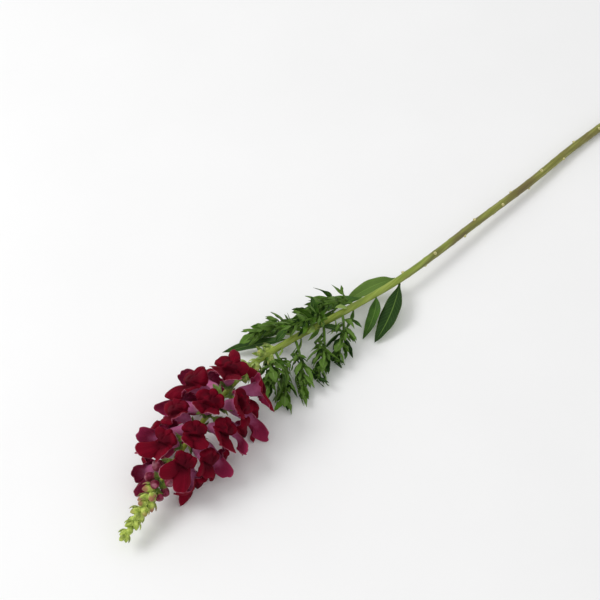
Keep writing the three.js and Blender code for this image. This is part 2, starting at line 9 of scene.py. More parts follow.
import bpy
import numpy as np
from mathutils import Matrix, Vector


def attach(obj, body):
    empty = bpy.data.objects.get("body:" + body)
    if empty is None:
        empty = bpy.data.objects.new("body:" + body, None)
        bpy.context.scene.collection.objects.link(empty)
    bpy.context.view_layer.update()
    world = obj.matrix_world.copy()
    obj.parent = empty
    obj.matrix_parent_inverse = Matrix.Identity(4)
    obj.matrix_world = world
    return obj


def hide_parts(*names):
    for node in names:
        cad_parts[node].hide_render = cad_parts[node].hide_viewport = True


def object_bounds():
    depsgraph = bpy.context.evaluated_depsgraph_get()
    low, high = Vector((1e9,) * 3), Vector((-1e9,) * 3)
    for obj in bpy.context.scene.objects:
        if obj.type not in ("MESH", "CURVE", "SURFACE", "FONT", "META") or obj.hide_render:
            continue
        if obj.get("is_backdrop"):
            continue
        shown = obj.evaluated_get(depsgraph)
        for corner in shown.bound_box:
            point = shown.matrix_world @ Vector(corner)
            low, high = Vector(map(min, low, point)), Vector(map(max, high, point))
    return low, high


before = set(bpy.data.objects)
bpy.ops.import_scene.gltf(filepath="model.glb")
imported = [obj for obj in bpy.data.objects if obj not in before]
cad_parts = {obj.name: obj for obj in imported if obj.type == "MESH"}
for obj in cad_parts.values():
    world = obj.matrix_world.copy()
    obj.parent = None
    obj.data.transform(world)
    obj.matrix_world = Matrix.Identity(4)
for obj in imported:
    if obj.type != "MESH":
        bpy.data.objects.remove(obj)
packed_box = [list(corner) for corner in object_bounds()]
print(f"{len(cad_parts)} packed nodes")

# %% [markdown]
# The stem is drawn in millimetres. Its line is written from the tip of the spike, so distances
# along it, called s, count from the tip. MIDDLE moves it over the origin, under the middle of the
# object's box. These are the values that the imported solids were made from, so what is drawn with
# them here lands on the solids with no fitting.

# %% The stalk's line
MM = 0.001
MIDDLE = np.array([378.5, 30.3, 0.0])
SPINE = np.array([
    [0, 0, 17], [33, 7.5, 23], [70, 15.5, 29], [119, 27, 32], [193, 40, 31],
    [250, 36, 27], [310, 25, 23], [380, 14, 19], [440, 10, 16], [500, 8, 13.5],
    [586, 4, 10], [668, 3, 6.8], [764, -3, 4.1],
])  # fmt: skip
STALK_RADIUS = [[0, 0.9], [60, 1.6], [100, 2.2], [200, 2.9], [390, 3.6], [770, 4.2]]
UP = np.array([0.0, 0.0, 1.0])


def unit(v):
    return v / np.linalg.norm(v, axis=-1, keepdims=True)


def smooth_path(points, steps):
    """Points on the smooth curve through `points`, `steps` to each span."""
    ends = [2 * points[0] - points[1], *points, 2 * points[-1] - points[-2]]
    w = (np.arange(steps) / steps)[:, None]
    spans = []
    for before, a, b, after in zip(ends, ends[1:], ends[2:], ends[3:]):
        leave, arrive = (b - before) / 2, (after - a) / 2
        spans.append(
            a + leave * w + (3 * (b - a) - 2 * leave - arrive) * w**2
            + (2 * (a - b) + leave + arrive) * w**3
        )  # fmt: skip
    return np.concatenate([*spans, points[-1:]])


spine_points = smooth_path(SPINE, 160)
spine_run = np.append(0, np.cumsum(np.linalg.norm(np.diff(spine_points, axis=0), axis=1)))
STEM_LENGTH = spine_run[-1]
print(f"stem {STEM_LENGTH:.1f} mm long")

# %% [markdown]
# Everything on the stem grows out of the stalk, at some distance along it, turned round it by some
# angle, and leaning towards its tip. Placing and rotating a hundred parts by hand would be slow. So
# each place gets a frame of its own, a point with directions, and what grows there is drawn in it.

# %% Frames along the stalk
def on_spine(s):
    return np.stack([np.interp(s, spine_run, spine_points[:, k]) for k in range(3)], -1)


def along(s):
    """Point at distance s, with unit vectors tipward, side and up."""
    s = np.clip(s, 0, STEM_LENGTH)
    tipward = unit(on_spine(np.maximum(s - 0.2, 0)) - on_spine(np.minimum(s + 0.2, STEM_LENGTH)))
    side = unit(np.cross(tipward, UP))
    return {"point": on_spine(s), "tipward": tipward, "side": side, "up": np.cross(side, tipward)}


def stalk_radius(s):
    return np.interp(s, *zip(*STALK_RADIUS))


def outward(at, turn, lean=0.0):
    """Out of the stalk, `turn` degrees from straight up and `lean` towards the tip."""
    turn, lean = np.radians(turn), np.radians(lean)
    return (
        at["up"] * np.cos(turn) * np.cos(lean)
        + at["side"] * np.sin(turn) * np.cos(lean)
        + at["tipward"] * np.sin(lean)
    )


def growth_axes(root, out, tipward, roll=0.0):
    """Axes of what grows from root along out, its upper side turned to the tip and then by roll."""
    tipmost = unit(tipward - out * np.dot(tipward, out))
    across, roll = np.cross(tipmost, out), np.radians(roll)
    up = tipmost * np.cos(roll) + across * np.sin(roll)
    return {"root": root, "out": out, "up": up, "right": np.cross(up, out)}


def circle(radius, angle):
    """Across and up, `angle` degrees from straight up."""
    return radius * np.sin(np.radians(angle)), radius * np.cos(np.radians(angle))


def in_axes(axes, x, y, z):
    x, y, z = (np.asarray(n)[..., None] for n in (x, y, z))
    return axes["root"] + axes["right"] * x + axes["up"] * y + axes["out"] * z


print("cut end at", (along(STEM_LENGTH)["point"] - MIDDLE).round(1))

# %% [markdown]
# Nothing on a plant is quite even, but a scene has to come out the same each time. So every
# irregularity comes from a small formula, or from a generator that starts from a fixed seed.

# %% Evenness and unevenness
def mix(a, b, t):
    return a + (b - a) * t


def smoothstep(x, low, high):
    t = np.clip((x - low) / (high - low), 0, 1)
    return t * t * (3 - 2 * t)


def bump(x, centre, width):
    return np.exp(-(((x - centre) / width) ** 2))


def scatter(k):
    """From -1 to 1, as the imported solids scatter."""
    x = np.sin(k * 12.9898) * 43758.5453
    return 2 * (x - np.floor(x)) - 1


def luck(k):
    """From 0 to 1, by the same formula."""
    return 0.5 + 0.5 * scatter(k)


def eased(rows, x):
    """Smooth value at x through rows of [x, value], flat at neither end."""
    rows = np.asarray(rows, float)
    slope = np.gradient(rows[:, 1], rows[:, 0])
    i = np.clip(np.searchsorted(rows[:, 0], x, side="right") - 1, 0, len(rows) - 2)
    span = rows[i + 1, 0] - rows[i, 0]
    t = np.clip((x - rows[i, 0]) / span, 0, 1)
    return (
        (1 + 2 * t) * (1 - t) ** 2 * rows[i, 1] + t * (1 - t) ** 2 * span * slope[i]
        + t**2 * (3 - 2 * t) * rows[i + 1, 1] - t**2 * (1 - t) * span * slope[i + 1]
    )  # fmt: skip


chance = np.random.default_rng(17)
print("scatter of 7 is", round(float(scatter(7)), 3))

# %% [markdown]
# Every piece here is a skin: rings of equally many points, stretched one after the other and closed
# with a point at each end. A corolla's rings run up its outside, over the rim and back down its
# inside, so a petal gets two faces with a real thickness. The skin also writes, for each corner of
# each face, where on the piece it lies. The finishes read that as an attribute called place, and
# need no unwrapped picture. A modifier could thicken a petal, but the rim would get no place.

# %% Skins
def stacked(*parts):
    """Arrays or numbers, spread to one shape and joined along a new last axis."""
    return np.stack(np.broadcast_arrays(*parts), -1)


def skin(rings, place, tone=0.0, closes=None):
    """A closed skin. rings and place are (rows, around, 3); the first and last rows become points.

    `closes` is the first place value where the last column meets the first again.
    """
    rows, around = rings.shape[:2]
    last = 1 + (rows - 2) * around
    points = np.concatenate([[rings[0].mean(0)], rings[1:-1].reshape(-1, 3), [rings[-1].mean(0)]])
    cells = np.arange(-around, rows * around - around).reshape(rows, around) + 1
    cells[0], cells[-1] = 0, last
    around_again = np.concatenate([place, place[:, :1]], axis=1)
    if closes is not None:
        around_again[:, -1, 0] = closes
    turned = np.roll(cells, -1, axis=1)
    corners = np.stack([cells[:-1], turned[:-1], turned[1:], cells[1:]], -1)
    where = np.stack(
        [around_again[:-1, :-1], around_again[:-1, 1:], around_again[1:, 1:], around_again[1:, :-1]], 2
    )
    quads, quad_places = corners[1:-1].reshape(-1, 4), where[1:-1].reshape(-1, 4, 3)
    start, start_places = corners[0][:, [0, 2, 3]], where[0][:, [0, 2, 3]]
    end, end_places = corners[-1][:, [0, 1, 2]], where[-1][:, [0, 1, 2]]
    tris, tri_places = np.concatenate([start, end]), np.concatenate([start_places, end_places])
    a, b, c = (points[tris[:, k]] for k in range(3))
    volume = (a * np.cross(b, c)).sum()
    for first, second in ((1, 2), (2, 3)):
        a, b, c = points[quads[:, 0]], points[quads[:, first]], points[quads[:, second]]
        volume += (a * np.cross(b, c)).sum()
    if volume < 0:
        quads, quad_places = quads[:, ::-1], quad_places[:, ::-1]
        tris, tri_places = tris[:, ::-1], tri_places[:, ::-1]
    return {
        "points": points,
        "quads": quads,
        "tris": tris,
        "places": np.concatenate([quad_places.reshape(-1, 3), tri_places.reshape(-1, 3)]),
        "tones": np.full(len(points), float(tone)),
    }


print("skins carry the attributes place and tone")

# %% [markdown]
# One mesh may hold many skins, such as all the calyxes, which Blender handles faster than a mesh for
# each. Here millimetres turn into metres, and the imported nodes that the mesh stands for are hidden.

# %% Pieces
def piece(name, skins, finish, *nodes):
    """One smooth mesh of all the skins, in metres in the row's frame, standing for the nodes."""
    starts = np.cumsum([0, *(len(s["points"]) for s in skins)])
    points = np.concatenate([s["points"] for s in skins])
    faces, places = [], []
    for start, s in zip(starts, skins):
        faces += (s["quads"] + start).tolist() + (s["tris"] + start).tolist()
        places.append(s["places"])
    mesh = bpy.data.meshes.new(name)
    mesh.from_pydata(((points - MIDDLE) * MM).tolist(), [], faces)
    place = mesh.attributes.new("place", "FLOAT_VECTOR", "CORNER")
    place.data.foreach_set("vector", np.concatenate(places).ravel())
    tone = mesh.attributes.new("tone", "FLOAT", "POINT")
    tone.data.foreach_set("value", np.concatenate([s["tones"] for s in skins]))
    mesh.shade_smooth()
    mesh.materials.append(finish.material)
    made = bpy.data.objects.new(name, mesh)
    bpy.context.scene.collection.objects.link(made)
    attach(made, "root")
    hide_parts(*nodes)
    return made


print("pieces are drawn in the frame of the packed stem")

# %% [markdown]
# The finishes are worked out with shader nodes. A node tree is easiest to read as arithmetic, so a
# small class wraps one output socket and turns +, - and * into Math nodes.

# %% Shader arithmetic
class Wire:
    """One output of a node, in arithmetic."""

    def __init__(self, tree, socket):
        self.tree, self.socket = tree, socket

    def math(self, operation, *values):
        return self.tree.node("ShaderNodeMath", {"operation": operation}, dict(enumerate(values)))

    def __add__(self, other):
        return self.math("ADD", self, other)

    def __sub__(self, other):
        return self.math("SUBTRACT", self, other)

    def __rsub__(self, other):
        return self.math("SUBTRACT", other, self)

    def __mul__(self, other):
        return self.math("MULTIPLY", self, other)

    __radd__ = __add__
    __rmul__ = __mul__

    def size(self):
        return self.math("ABSOLUTE", self)

    def sine(self):
        return self.math("SINE", self)

    def between(self, low, high):
        """0 below low, 1 above high, smooth between them. high may be the lower one."""
        if low > high:
            return 1 - self.between(high, low)
        settings = {"interpolation_type": "SMOOTHSTEP"}
        return self.tree.node("ShaderNodeMapRange", settings, {0: self, 1: low, 2: high})


print("wires add, subtract and multiply")

# %% [markdown]
# A finish is a material that is put together in a few lines: read where on the piece a point lies,
# make a noise, mix colours, coat the surface. Colours don't go through Math nodes, which would turn
# them grey. They are mixed with a Mix node.

# %% Finishes
class Finish:
    """A material with one Principled surface, built node by node."""

    def __init__(self, name, slot, **constants):
        self.material = bpy.data.materials.new(name)
        self.material.use_nodes = True
        self.nodes = self.material.node_tree.nodes
        self.links = self.material.node_tree.links
        self.surface = self.nodes["Principled BSDF"]
        self.slot = slot
        sockets = {socket.name.lower(): socket for socket in self.surface.inputs}
        for name, value in constants.items():
            sockets[name.replace("_", " ")].default_value = value

    def node(self, kind, settings=None, inputs=None, output=0):
        """A node of one type: its settings first, then the values or links of its sockets."""
        made = self.nodes.new(kind)
        for key, value in (settings or {}).items():
            setattr(made, key, value)
        for key, value in (inputs or {}).items():
            self.feed(made.inputs[key], value)
        return Wire(self, made.outputs[output])

    def feed(self, socket, value):
        if isinstance(value, Wire):
            self.links.new(value.socket, socket)
        elif isinstance(value, str):
            socket.default_value = colour(value)
        else:
            socket.default_value = value

    def blend(self, low, high, factor):
        """Colour from low to high as factor goes from 0 to 1."""
        settings = {"data_type": "RGBA", "clamp_factor": True}
        return self.node("ShaderNodeMix", settings, {0: factor, 6: low, 7: high}, output=2)

    def place(self):
        """Where on the piece: three numbers that its skin wrote."""
        read = self.node("ShaderNodeAttribute", {"attribute_name": "place"}, output=1)
        apart = self.node("ShaderNodeSeparateXYZ", None, {0: read}).socket.node.outputs
        return [Wire(self, socket) for socket in apart]

    def tone(self):
        return self.node("ShaderNodeAttribute", {"attribute_name": "tone"}, output=2)

    def noise(self, scale, detail=2.0, stretch=None):
        """Soft noise from 0 to 1 with `scale` cells to a metre, or stretched along x, y or z."""
        where = self.node("ShaderNodeTexCoord", output=3)
        if stretch:
            where = self.node("ShaderNodeVectorMath", {"operation": "MULTIPLY"}, {0: where, 1: stretch})
        return self.node("ShaderNodeTexNoise", None, {"Vector": where, "Scale": scale, "Detail": detail})

    def coat(self, base, roughness=None, height=None, depth=0.0):
        """Feeds the surface: its colour, its roughness, and relief of `depth` metres."""
        self.feed(self.surface.inputs["Base Color"], base)
        if roughness is not None:
            self.feed(self.surface.inputs["Roughness"], roughness)
        if height is not None:
            relief = {"Height": height, "Strength": 1.0, "Distance": depth}
            self.feed(self.surface.inputs["Normal"], self.node("ShaderNodeBump", None, relief))
        return self


def colour(code):
    """Linear colour with alpha from a code such as "7a1530"."""
    shown = np.array([int(code[k : k + 2], 16) for k in (0, 2, 4)]) / 255
    linear = np.where(shown <= 0.04045, shown / 12.92, ((shown + 0.055) / 1.055) ** 2.4)
    return (*linear.tolist(), 1.0)


print("red in linear numbers:", [round(x, 3) for x in colour("7a1530")])

# %% [markdown]
# ## How the stem presses on what it meets
#
# The stem lies on a table, and its flowers crowd each other. A petal that comes near the table or a
# neighbour gives way: the nearer it comes, the more it bends aside. A cloth simulation could do
# that, but it is slow and hard to steer. Here a wall is a plane that a petal keeps in front of.

# %% Walls
PETAL_SOFTNESS, BLADE_SOFTNESS = 7.0, 3.0  # how far before a wall they begin to bend
TABLE_GAP = 1.3
CLEARANCE = 0.35
SOLID_PETAL = 0.9
SOLID_BLADE = 1.0
TABLE = (UP, TABLE_GAP)


def wall_between(a, b, gap):
    normal = unit(a - b)
    return normal, normal @ (a + b) / 2 + gap


def pressed(points, walls=(TABLE,), softness=BLADE_SOFTNESS):
    for normal, offset in walls:
        distance = points @ normal - offset
        near = np.minimum(distance, softness)
        give = np.where(distance < softness, softness * np.exp(near / softness - 1) - distance, 0)
        points = points + give[..., None] * normal
    return points


print("a point 1 mm into the table is lifted to", pressed(np.array([[0, 0, -1.0]]))[0, 2].round(2))

# %% [markdown]
# The flowers stand round the stalk in the golden angle, as leaves and flowers do on most plants. In
# a spike that lies down they can't all stay there. So each face is treated as a ball on a tether,
# and the balls push each other apart and up from the table until they have room.

# %% Where the flowers stand
FLOWER_COUNT, FLOWER_FIRST, FLOWER_STEP = 20, 168, 4.45
FLOWER_LEAN, FLOWER_YOUNGEST_SIZE, FLOWER_REACH = 20, 0.8, 44
MOST_LEAN = 0.5  # sine of the most that a flower leans towards the tip
FLOWER_ROOM, FLOWER_FLOOR, NEAR, SETTLE_ROUNDS, DRIFT = 18.5, 13, 66, 160, 0.3
GOLDEN_ANGLE, FLOWER_TURN, FLOWER_ROLL, PEDICEL = 137.508, 20, 30, 5.5


def settled_flowers():
    order = np.arange(FLOWER_COUNT)
    s = FLOWER_FIRST - order * FLOWER_STEP
    size = mix(1, FLOWER_YOUNGEST_SIZE, order / (FLOWER_COUNT - 1))
    stations = [along(x) for x in s]
    feet = np.array([at["point"] for at in stations])
    tipward = np.array([at["tipward"] for at in stations])
    out = np.array([
        outward(at, FLOWER_TURN + GOLDEN_ANGLE * i, FLOWER_LEAN + 4 * scatter(i + 7))
        for i, at in enumerate(stations)
    ])  # fmt: skip
    faces = feet + out * (FLOWER_REACH * size)[:, None]
    pairs = [(i, j) for i in order for j in order if i != j]
    for _ in range(SETTLE_ROUNDS):
        for i, j in pairs:
            gap = faces[i] - faces[j]
            apart = gap @ gap
            room = FLOWER_ROOM * (size[i] + size[j])
            if apart < room * room:
                push = gap * (room / np.sqrt(apart) - 1) / 4
                faces[i] += push
                faces[j] -= push
        faces[:, 1] -= DRIFT
        faces[:, 2] = np.maximum(faces[:, 2], FLOWER_FLOOR)
        out = unit(faces - feet)
        lean = (out * tipward).sum(-1)
        out = unit(out + tipward * (np.minimum(lean, MOST_LEAN) - lean)[:, None])
        faces = feet + out * (FLOWER_REACH * size)[:, None]
    made = []
    for i, at in enumerate(stations):
        root = feet[i] + out[i] * (stalk_radius(s[i]) + PEDICEL * size[i])
        near = [j for j in order if j != i and np.linalg.norm(faces[j] - faces[i]) < NEAR]
        walls = [wall_between(faces[i], faces[j], SOLID_PETAL + CLEARANCE / 2) for j in near]
        made.append({
            "at": at, "size": size[i], "face": faces[i], "walls": [*walls, TABLE],
            "axes": growth_axes(root, out[i], at["tipward"], FLOWER_ROLL * scatter(i + 50)),
        })  # fmt: skip
    return made


flowers = settled_flowers()
print("faces from", min(f["face"][2] for f in flowers).round(1), "mm up")

# %% [markdown]
# ## The corolla
#
# A snapdragon flower is one sheet: a tube with a shallow pouch, which opens into an upper lip of
# two lobes and a lower lip of three. The swollen throat, called the palate, closes the mouth. The
# sheet is drawn in the flower's own round coordinates, an angle from straight up and a share of the
# way out of the mouth, because then the lobes are just a length that changes with the angle.

# %% The petals' outline
TUBE = {"length": 28, "mouth": 7.2, "pouch": 1.5}
LIPS = {
    "upper": {"length": 28, "start": 2, "end": 100},
    "lower": {"length": 23, "start": 34, "end": 172},
}  # millimetres, and the way of the sheet at the mouth and at the lip's end: 0 forward, 90 outward
LOBES = [
    (34, 38, 1, "upper"), (131, 34, 1, "lower"), (180, 24, 0.8, "lower"),
    (-131, 34, 1, "lower"), (-34, 38, 1, "upper"),
]  # fmt: skip
CLEFT, WEB, ROLL, LIP_BLEND = 4, 11, 0.6, 0.34


def lower_share(angle):
    """0 on the upper lip, 1 on the lower."""
    return smoothstep(-np.cos(np.radians(angle)), -LIP_BLEND, LIP_BLEND)


def lobes_at(angle):
    """How far the sheet reaches, which lobe that is, and where in it: -1 and 1 are its sides."""
    web = mix(CLEFT, WEB, np.abs(np.cos(np.radians(angle))))
    reach, which, across = web, np.zeros(np.shape(angle), int), np.ones_like(web)
    for k, (centre, half, share, lip) in enumerate(LOBES):
        x = ((angle - centre + 180) % 360 - 180) / half
        lobe = share * LIPS[lip]["length"] * np.sqrt(1 - np.minimum(np.abs(x), 1) ** 3)
        which = np.where(lobe > reach, k, which)
        across = np.where(lobe > reach, x, across)
        reach = np.maximum(reach, lobe)
    return {"reach": reach, "web": web, "which": which, "across": across}


def spread_angles(count):
    """Angles that are evenly spaced along the outline, so that narrow notches get enough."""
    fine = np.linspace(0, 360, 3601)
    reach = TUBE["mouth"] + lobes_at(fine)["reach"]
    rim = np.stack(circle(reach, fine), -1)
    run = np.append(0, np.cumsum(np.linalg.norm(np.diff(rim, axis=0), axis=1)))
    return np.interp(np.arange(count) / count * run[-1], run, fine)


ANGLES = spread_angles(160)
print("lobes reach", lobes_at(np.array([0.0, 34, 90, 131, 160, 180]))["reach"].round(1))

# %% [markdown]
# The lobes turn outward at the mouth and curl back. Each is a tongue: it narrows away from the
# round fan that the angles would give, and its sides roll back. No two petals are alike, so each
# lobe of each flower has habits of its own, a curl, a tilt and a swing. They fade towards the
# lobe's sides, because there it joins its neighbours.

# %% The petal sheet
FAN = 0.6  # how much a lobe widens on its way out, against a full fan
CROWN = 6.4  # how far a lobe's sides roll back, in millimetres
HABITS = {"curl": 34, "tilt": 4.0, "swing": 12}  # degrees, millimetres, degrees
RUFFLES = [(1.1, 8), (0.6, 17), (0.2, 33)]  # depth in millimetres, number round the flower
STEPS = 16  # of the sum that follows the curl


def sheet(angle, share, number):
    """Radius, height and angle of the back of a flower's petals."""
    low = lower_share(angle)
    lip = {key: mix(LIPS["upper"][key], LIPS["lower"][key], low) for key in LIPS["upper"]}
    lobe = lobes_at(angle)
    reach, x = lobe["reach"], np.clip(lobe["across"], -1, 1)
    own = 1 - x**4
    seed = number * 7 + lobe["which"]
    habits = enumerate(HABITS.items())
    habit = {key: most * scatter(seed + 41 * k) * own for k, (key, most) in habits}
    turn = (lip["end"] - lip["start"] + habit["curl"]) * mix(reach / lip["length"], 1, 1 - ROLL)
    radius, height = TUBE["mouth"], TUBE["length"]
    for step in range(STEPS):
        part = share * (step + 0.5) / STEPS
        way = np.radians(lip["start"] + turn * (1 - (1 - part) ** 1.7))
        radius = radius + np.sin(way) * reach * share / STEPS
        height = height + np.cos(way) * reach * share / STEPS
    way = np.radians(lip["start"] + turn * (1 - (1 - share) ** 1.7))
    offset = habit["tilt"] * x * share**1.5 - CROWN * np.abs(x) ** 2.2 * share**1.2
    for depth, count in RUFFLES:
        offset = offset + depth * share**2 * np.sin(np.radians(count * (angle + 31 * number)))
    radius, height = radius - offset * np.cos(way), height + offset * np.sin(way)
    centre = np.array([row[0] for row in LOBES])[lobe["which"]]
    beyond = np.maximum(share * reach - lobe["web"], 0)
    wide = TUBE["mouth"] + lobe["web"]
    aside = ((angle - centre + 180) % 360 - 180) * (wide + FAN * beyond) / (wide + beyond)
    inside = np.abs(lobe["across"]) < 1
    angle = np.where(inside, centre + aside + habit["swing"] * share**2, angle)
    return radius, height, angle


print("rim at the top:", [round(float(x), 1) for x in sheet(np.array(34.0), 1.0, 0)])

# %% [markdown]
# The palate is two soft cushions on the lower lip, with a furrow between them. They press up
# against the upper lip, so only a narrow slit is left of the mouth.

# %% The palate
PALATE_HEIGHT, ROOF_HEIGHT = 7.6, 3.2
FURROW, SLIT = 1.7, 2.4


def palate(angle, q):
    """Height over the mouth at a share q of its radius."""
    x, y = circle(q, angle)
    low = smoothstep(-y, -0.4, 0.0)
    furrow = FURROW * bump(x, 0, 0.16) * low * smoothstep(q, 0.1, 0.4)
    slit = SLIT * bump(y, 0.32, 0.1)
    return mix(ROOF_HEIGHT, PALATE_HEIGHT * (1 - 0.25 * q**2), low) - furrow - slit


print("cushions", palate(np.array(150.0), 0.6).round(1), "mm over the mouth")

# %% [markdown]
# Now the rings are put together from base to throat. A real petal is far thinner than a solid that
# has to be printed or weighed, so here its faces stand 0.45 mm apart, in the middle of the solid's
# thickness. Flowers that hang lowest droop until they rest on the table.

# %% Corollas
THIN = 0.45
BACK_LIFT = (SOLID_PETAL - THIN) / 2
LIP_ROWS, TUBE_ROWS, THROAT_ROWS = 20, 11, 12
THROAT_SHARE = 0.28  # the palate grows out of the lip here
TUBE_SHAPE = [
    [0, 0.6], [0.12, 2.2], [0.4, 5.4], [0.62, 5.6], [0.85, 6.6], [1, 7.2],
]  # fmt: skip


def corolla(flower, number):
    axes, size, walls = flower["axes"], flower["size"], flower["walls"]
    lowered = [0.0]

    def placed(radius, height, angle, drop=0.0):
        x, y = circle(radius, angle)
        spots = in_axes(axes, x * size, (y - drop) * size, height * size)
        given = pressed(spots, walls, PETAL_SOFTNESS)
        spots = np.where((height >= TUBE["length"] * 0.5)[..., None], given, spots)
        spots[..., 2] += lowered[0] * np.clip(height / TUBE["length"], 0, 1)
        return spots

    def rings():
        share = np.linspace(0, 1, LIP_ROWS)[:, None]
        back = placed(*sheet(ANGLES, share, number))
        leftwards = np.roll(back, -1, axis=1) - np.roll(back, 1, axis=1)
        normal = unit(np.cross(leftwards, np.gradient(back, axis=0)) + 1e-9)
        h = np.linspace(0, 1, TUBE_ROWS)[:, None]
        folds = 1 - 0.05 * bump(np.abs(ANGLES - 180), 28, 12) * np.sin(np.pi * h)
        pouch = TUBE["pouch"] * np.sin(np.pi * np.clip(h * 1.25, 0, 1))
        tube = placed(eased(TUBE_SHAPE, h) * folds, h * TUBE["length"], ANGLES, pouch)
        kept = share[:, 0] >= THROAT_SHARE
        radius, height, angle = sheet(ANGLES, THROAT_SHARE, number)
        t = np.linspace(0, 1, THROAT_ROWS)[1:, None]
        q = radius * (1 - t) / TUBE["mouth"]
        inward = smoothstep(t, 0, 0.5)
        over = mix(height - TUBE["length"] + THIN, palate(ANGLES, np.minimum(q, 1)), inward)
        throat = placed(q * TUBE["mouth"], TUBE["length"] + over, angle)
        front = (back + normal * (BACK_LIFT + THIN))[kept][::-1]
        rim = back[-1:] + normal[-1:] * (BACK_LIFT + THIN / 2)
        outwards = back[-1:] - back[-2:-1]
        rim = rim + unit(outwards) * THIN / 3
        parts = [
            (tube[:-1], h[:-1] - 1, 0), (back + normal * BACK_LIFT, share, 0), (rim, [[1]], 0.5),
            (front, share[kept][::-1], 1), (throat, THROAT_SHARE * (1 - t) - t, 1),
        ]  # fmt: skip
        places = [
            stacked(ANGLES / 360, np.asarray(run, float), face)
            for _, run, face in parts
        ]  # fmt: skip
        return np.concatenate([part[0] for part in parts]), np.concatenate(places)

    spots, places = rings()
    if flower["face"][2] < FLOWER_FLOOR + 1:
        lowered[0] = -spots[..., 2].min() - 0.2
        spots, places = rings()
    spots[..., 2] = np.maximum(spots[..., 2], 0.02)
    return skin(spots, places, tone=luck(number + 31), closes=1.0)


corollas = [corolla(flower, i) for i, flower in enumerate(flowers)]
print(len(corollas), "corollas of", len(corollas[0]["quads"]), "faces")

# %% [markdown]
# Petals of this variety are velvety inside: tiny domed cells trap the light, so the crimson looks
# deep and has no gloss. Towards the throat and over the palate the velvet is darker: painted shade
# where the flower is deep. The outside is thinner in colour, a dusty magenta with darker veins that
# fade to pink at the tube's foot. Rims show as a pale line of painted sheen, as velvet shines where
# an edge is seen at a grazing angle. Velvet is a rough surface with hardly a highlight, and the
# veins are stripes round the flower that waver with a noise.

# %% Petal finish
def petal_finish():
    finish = Finish("velvet_petal", "petal", specular_ior_level=0.1)
    turn, run, inside = finish.place()
    cloud = finish.noise(160, 3)
    fine = finish.noise(900, 2)
    stripes = (turn * (2 * np.pi * 44) + cloud * 8).sine()
    vein = stripes.between(0.35, 1) * run.between(1.0, 0.55) * cloud.between(0.32, 0.6)
    # painted shade: depth darkens the velvet towards the throat and over the palate
    depth = (run + cloud * 0.7 - 0.35).between(-0.5, 0.9)
    velvet = finish.blend("4a0012", "6c001a", depth)
    velvet = finish.blend(velvet, "8e0222", finish.tone() * cloud.between(0.45, 0.75) * 0.6)
    velvet = finish.blend(velvet, "30000c", vein * 0.3)
    outside = finish.blend("f0d0d8", "b8648e", (run + cloud * 0.3).between(-1.1, -0.35))
    outside = finish.blend(outside, "98284e", (run + cloud * 0.6).between(0.0, 0.8))
    outside = finish.blend(outside, "681038", vein * 0.4)
    petal = finish.blend(outside, velvet, inside.between(0.4, 0.6))
    # painted sheen: a pale line on the rims, as velvet shines where an edge is seen at a grazing angle
    rim = run.between(0.965, 1.0) * (0.2 + cloud.between(0.4, 0.65) * 0.4)
    petal = finish.blend(petal, "c88a9c", rim)
    rough = inside * 0.2 + 0.6 + fine * 0.1
    return finish.coat(petal, rough, vein * 0.5 + fine * 0.6 + cloud, 0.00018)


velvet_petal = petal_finish()
for i, made in enumerate(corollas):
    name = f"flower_{i + 1:02d}"
    piece(f"{name}_corolla", [made], velvet_petal, name)
print("corollas dressed")

# %% [markdown]
# ## The stalk
#
# The stalk is a solid herbaceous stem, nearly round, with a slight swelling at each node where a
# leaf grew. It thins towards the tip. A curve with a round bevel gives a tube too, but an even one.
# So its skin is rings along the stem's line, and its cut end shows pale pith inside a green rim.

# %% Stalk
SCARS = {"first": 408, "last": 748, "step": 21, "length": 3.2, "width": 3.4}
BRACTS = {"first": 332, "step": 8.1, "count": 19, "turn": 216}
KNOBS = {"first": 238, "step": 6.5, "count": 8, "length": 8.5, "width": 6.6}
scar_count = int((SCARS["last"] - SCARS["first"]) / SCARS["step"]) + 1
scar_s = np.array([SCARS["first"] + i * SCARS["step"] + 4 * scatter(i) for i in range(scar_count)])
bract_s = BRACTS["first"] - np.arange(BRACTS["count"]) * BRACTS["step"]
STALK_STEP, STALK_SIDES = 1.3, 28
SWELLING = {"height": 0.22, "width": 2.6}
STALK_RIBS = [(0.05, 4, 0.015), (0.03, 9, -0.04)]  # depth, number, twist for each millimetre
CUT_RINGS = [(0.97, 0.02), (0.86, 0.12), (0.5, 0.2), (0.05, 0.26), (0.0, 0.26)]  # share, depth


def stalk():
    s = np.append(np.arange(0, STEM_LENGTH, STALK_STEP), STEM_LENGTH)[:, None]
    turns = np.linspace(0, 360, STALK_SIDES, endpoint=False)[None, :]
    at = {key: value[:, None] for key, value in along(s[:, 0]).items()}
    nodes = sum(bump(s, station, SWELLING["width"]) for station in [*scar_s, *bract_s])
    around = np.radians(turns)
    ribs = sum(depth * np.cos(around * count + twist * s) for depth, count, twist in STALK_RIBS)
    radius = stalk_radius(s) * (1 + ribs / 3) + SWELLING["height"] * nodes
    rings = at["point"] + outward(at, turns[..., None]) * radius[..., None]
    end = at["point"][-1]
    cut = np.stack([end + (rings[-1] - end) * k + at["tipward"][-1] * d for k, d in CUT_RINGS])
    share = np.array([[k] for k, _ in CUT_RINGS])
    place = stacked(turns / 360, s / STEM_LENGTH, 0.0)
    cut_place = stacked(turns / 360, share, 1.0)
    return skin(np.concatenate([rings, cut]), np.concatenate([place, cut_place]), closes=1.0)


stalk_skin = stalk()
print("stalk of", len(stalk_skin["quads"]), "faces")

# %% [markdown]
# Where a leaf was stripped off, a small bump is left: its scar, with a dormant bud over it. They are
# the only marks on the bare part of the stalk, and they catch the light. Each is an egg, sunk in the
# stalk so that only its outer half shows.

